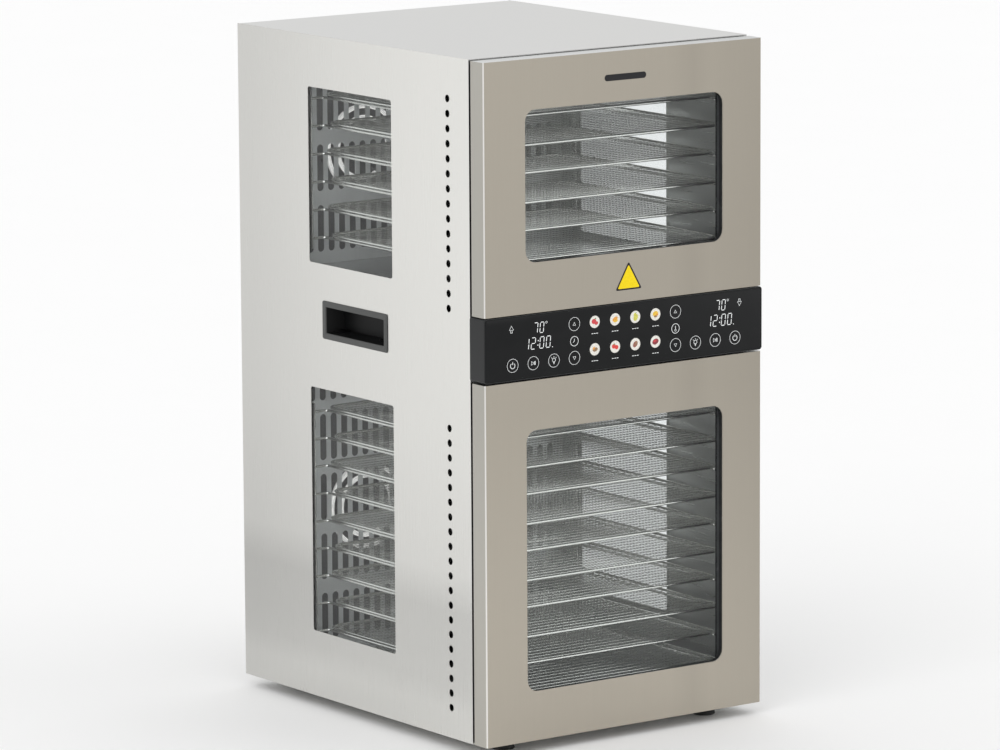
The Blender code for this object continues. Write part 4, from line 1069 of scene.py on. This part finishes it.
class DEHYDRATOR_OT_door_labels(bpy.types.Operator):
    """Adds the plain dark badge and the plain yellow label of the upper door"""

    bl_idname = "dehydrator.door_labels"
    bl_label = "Door labels"

    def execute(self, context):
        front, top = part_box("upper_door_skin")
        paints = [patterned(name, tint, 0.4, 600, (0.92, 1.06), inputs={"Specular IOR Level": 0.2})
                  for name, tint in (("badge_print", (0.018, 0.018, 0.020)), ("yellow_print", (0.90, 0.68, 0.006)))]
        bm = bmesh.new()
        outline(bm, (-0.031, top.z - 0.0365), (0.033, top.z - 0.0285), 0.0039)
        ops.contextual_create(bm, geom=bm.edges[:])
        raise_marks(bm, front.y, 0.00012)
        place_piece("plain_badge", bm, "door_steel", paints[:1], (), 30, "upper_door")
        bm = bmesh.new()
        for index, (size, round_off, lift) in enumerate(((0.0236, 0.0030, 0.0), (0.0196, 0.0022, -0.00005))):
            corners = ops.create_circle(bm, cap_ends=True, segments=3, radius=size,
                                        matrix=Matrix.Translation((0.0053, front.z + 0.0267, lift)))["verts"]
            corners[0].link_faces[0].material_index = index
            ops.bevel(bm, geom=corners, offset=round_off, segments=5, profile=0.5, affect="VERTICES", material=-1)
        raise_marks(bm, front.y, 0.00012)
        place_piece("plain_yellow_label", bm, "door_steel", paints, (), 30, "upper_door")
        return {"FINISHED"}


class DEHYDRATOR_OT_studio(bpy.types.Operator):
    """Sets the camera, the soft light and the pale floor"""

    bl_idname = "dehydrator.studio"
    bl_label = "Studio"

    def execute(self, context):
        studio = sizes("studio")
        scene = context.scene
        scene.view_settings.view_transform = "Standard"
        camera = bpy.data.objects.new("studio_camera", bpy.data.cameras.new("studio_camera"))
        scene.collection.objects.link(camera)
        right = Vector((0.81004, -0.58634, -0.00575))
        up = Vector((0.10406, 0.13409, 0.98549))
        ahead = Vector((0.57706, 0.79889, -0.16963))
        camera.matrix_world = Matrix.Translation(studio.camera_place) @ Matrix(
            [[right[i], up[i], -ahead[i]] for i in range(3)]).to_4x4()
        camera.data.lens, camera.data.sensor_width = studio.camera_lens, 36.0
        camera.data.clip_start, camera.data.clip_end = 0.1, 200.0
        scene.camera = camera

        world = bpy.data.worlds.new("white_room")
        world.use_nodes = True
        scene.world = world
        world.node_tree.nodes["Background"].inputs["Color"].default_value = (1, 1, 1, 1)
        world.node_tree.nodes["Background"].inputs["Strength"].default_value = studio.sky

        bm = bmesh.new()
        ops.create_grid(bm, x_segments=2, y_segments=2, size=40)
        floor = bpy.data.objects.new("studio_floor", to_mesh("studio_floor", bm))
        floor.location = (0, 0, -0.0002)
        scene.collection.objects.link(floor)
        floor.data.materials.append(patterned("pale_paper", studio.floor_colour, 0.7, 3, (0.995, 1.0), 2.0))

        for name, place, spread, power in (("left_key", (-3.0, -1.5, 3.2), 40, 0.45),
                                           ("right_fill", (3.2, -3.0, 2.6), 50, 0.30)):
            light = bpy.data.lights.new(name, "SUN")
            light.angle, light.energy = radians(spread), power
            lamp = bpy.data.objects.new(name, light)
            lamp.rotation_euler = (-Vector(place)).to_track_quat("-Z", "Y").to_euler()
            scene.collection.objects.link(lamp)
        return {"FINISHED"}


OPERATORS = (
    DEHYDRATOR_OT_finishes, DEHYDRATOR_OT_side_panels, DEHYDRATOR_OT_carry_handles, DEHYDRATOR_OT_feet,
    DEHYDRATOR_OT_duct_walls, DEHYDRATOR_OT_trays, DEHYDRATOR_OT_racks, DEHYDRATOR_OT_heaters, DEHYDRATOR_OT_fans,
    DEHYDRATOR_OT_door_fittings, DEHYDRATOR_OT_door_labels, DEHYDRATOR_OT_rear, DEHYDRATOR_OT_touch_panel,
    DEHYDRATOR_OT_studio,
)


class DEHYDRATOR_PT_sidebar(bpy.types.Panel):
    """Lists the sizes and the pieces"""

    bl_idname = "DEHYDRATOR_PT_sidebar"
    bl_label = "Food dehydrator"
    bl_space_type = "VIEW_3D"
    bl_region_type = "UI"
    bl_category = "Dehydrator"

    def draw(self, context):
        layout = self.layout
        for name, group in GROUPS.items():
            box = layout.box()
            box.label(text=name.capitalize())
            for prop in group.__annotations__:
                box.prop(sizes(name), prop)
        for operator in OPERATORS:
            layout.operator(operator.bl_idname)


def register():
    for cls in (*GROUPS.values(), *OPERATORS, DEHYDRATOR_PT_sidebar):
        bpy.utils.register_class(cls)
    for name, group in GROUPS.items():
        setattr(bpy.types.Scene, "dehydrator_" + name, PointerProperty(type=group))


def unregister():
    for name in GROUPS:
        delattr(bpy.types.Scene, "dehydrator_" + name)
    for cls in reversed((*GROUPS.values(), *OPERATORS, DEHYDRATOR_PT_sidebar)):
        bpy.utils.unregister_class(cls)


def main():
    """Builds every piece."""
    register()
    for operator in OPERATORS:
        group, name = operator.bl_idname.split(".")
        getattr(getattr(bpy.ops, group), name)()


if __name__ == "__main__":
    main()
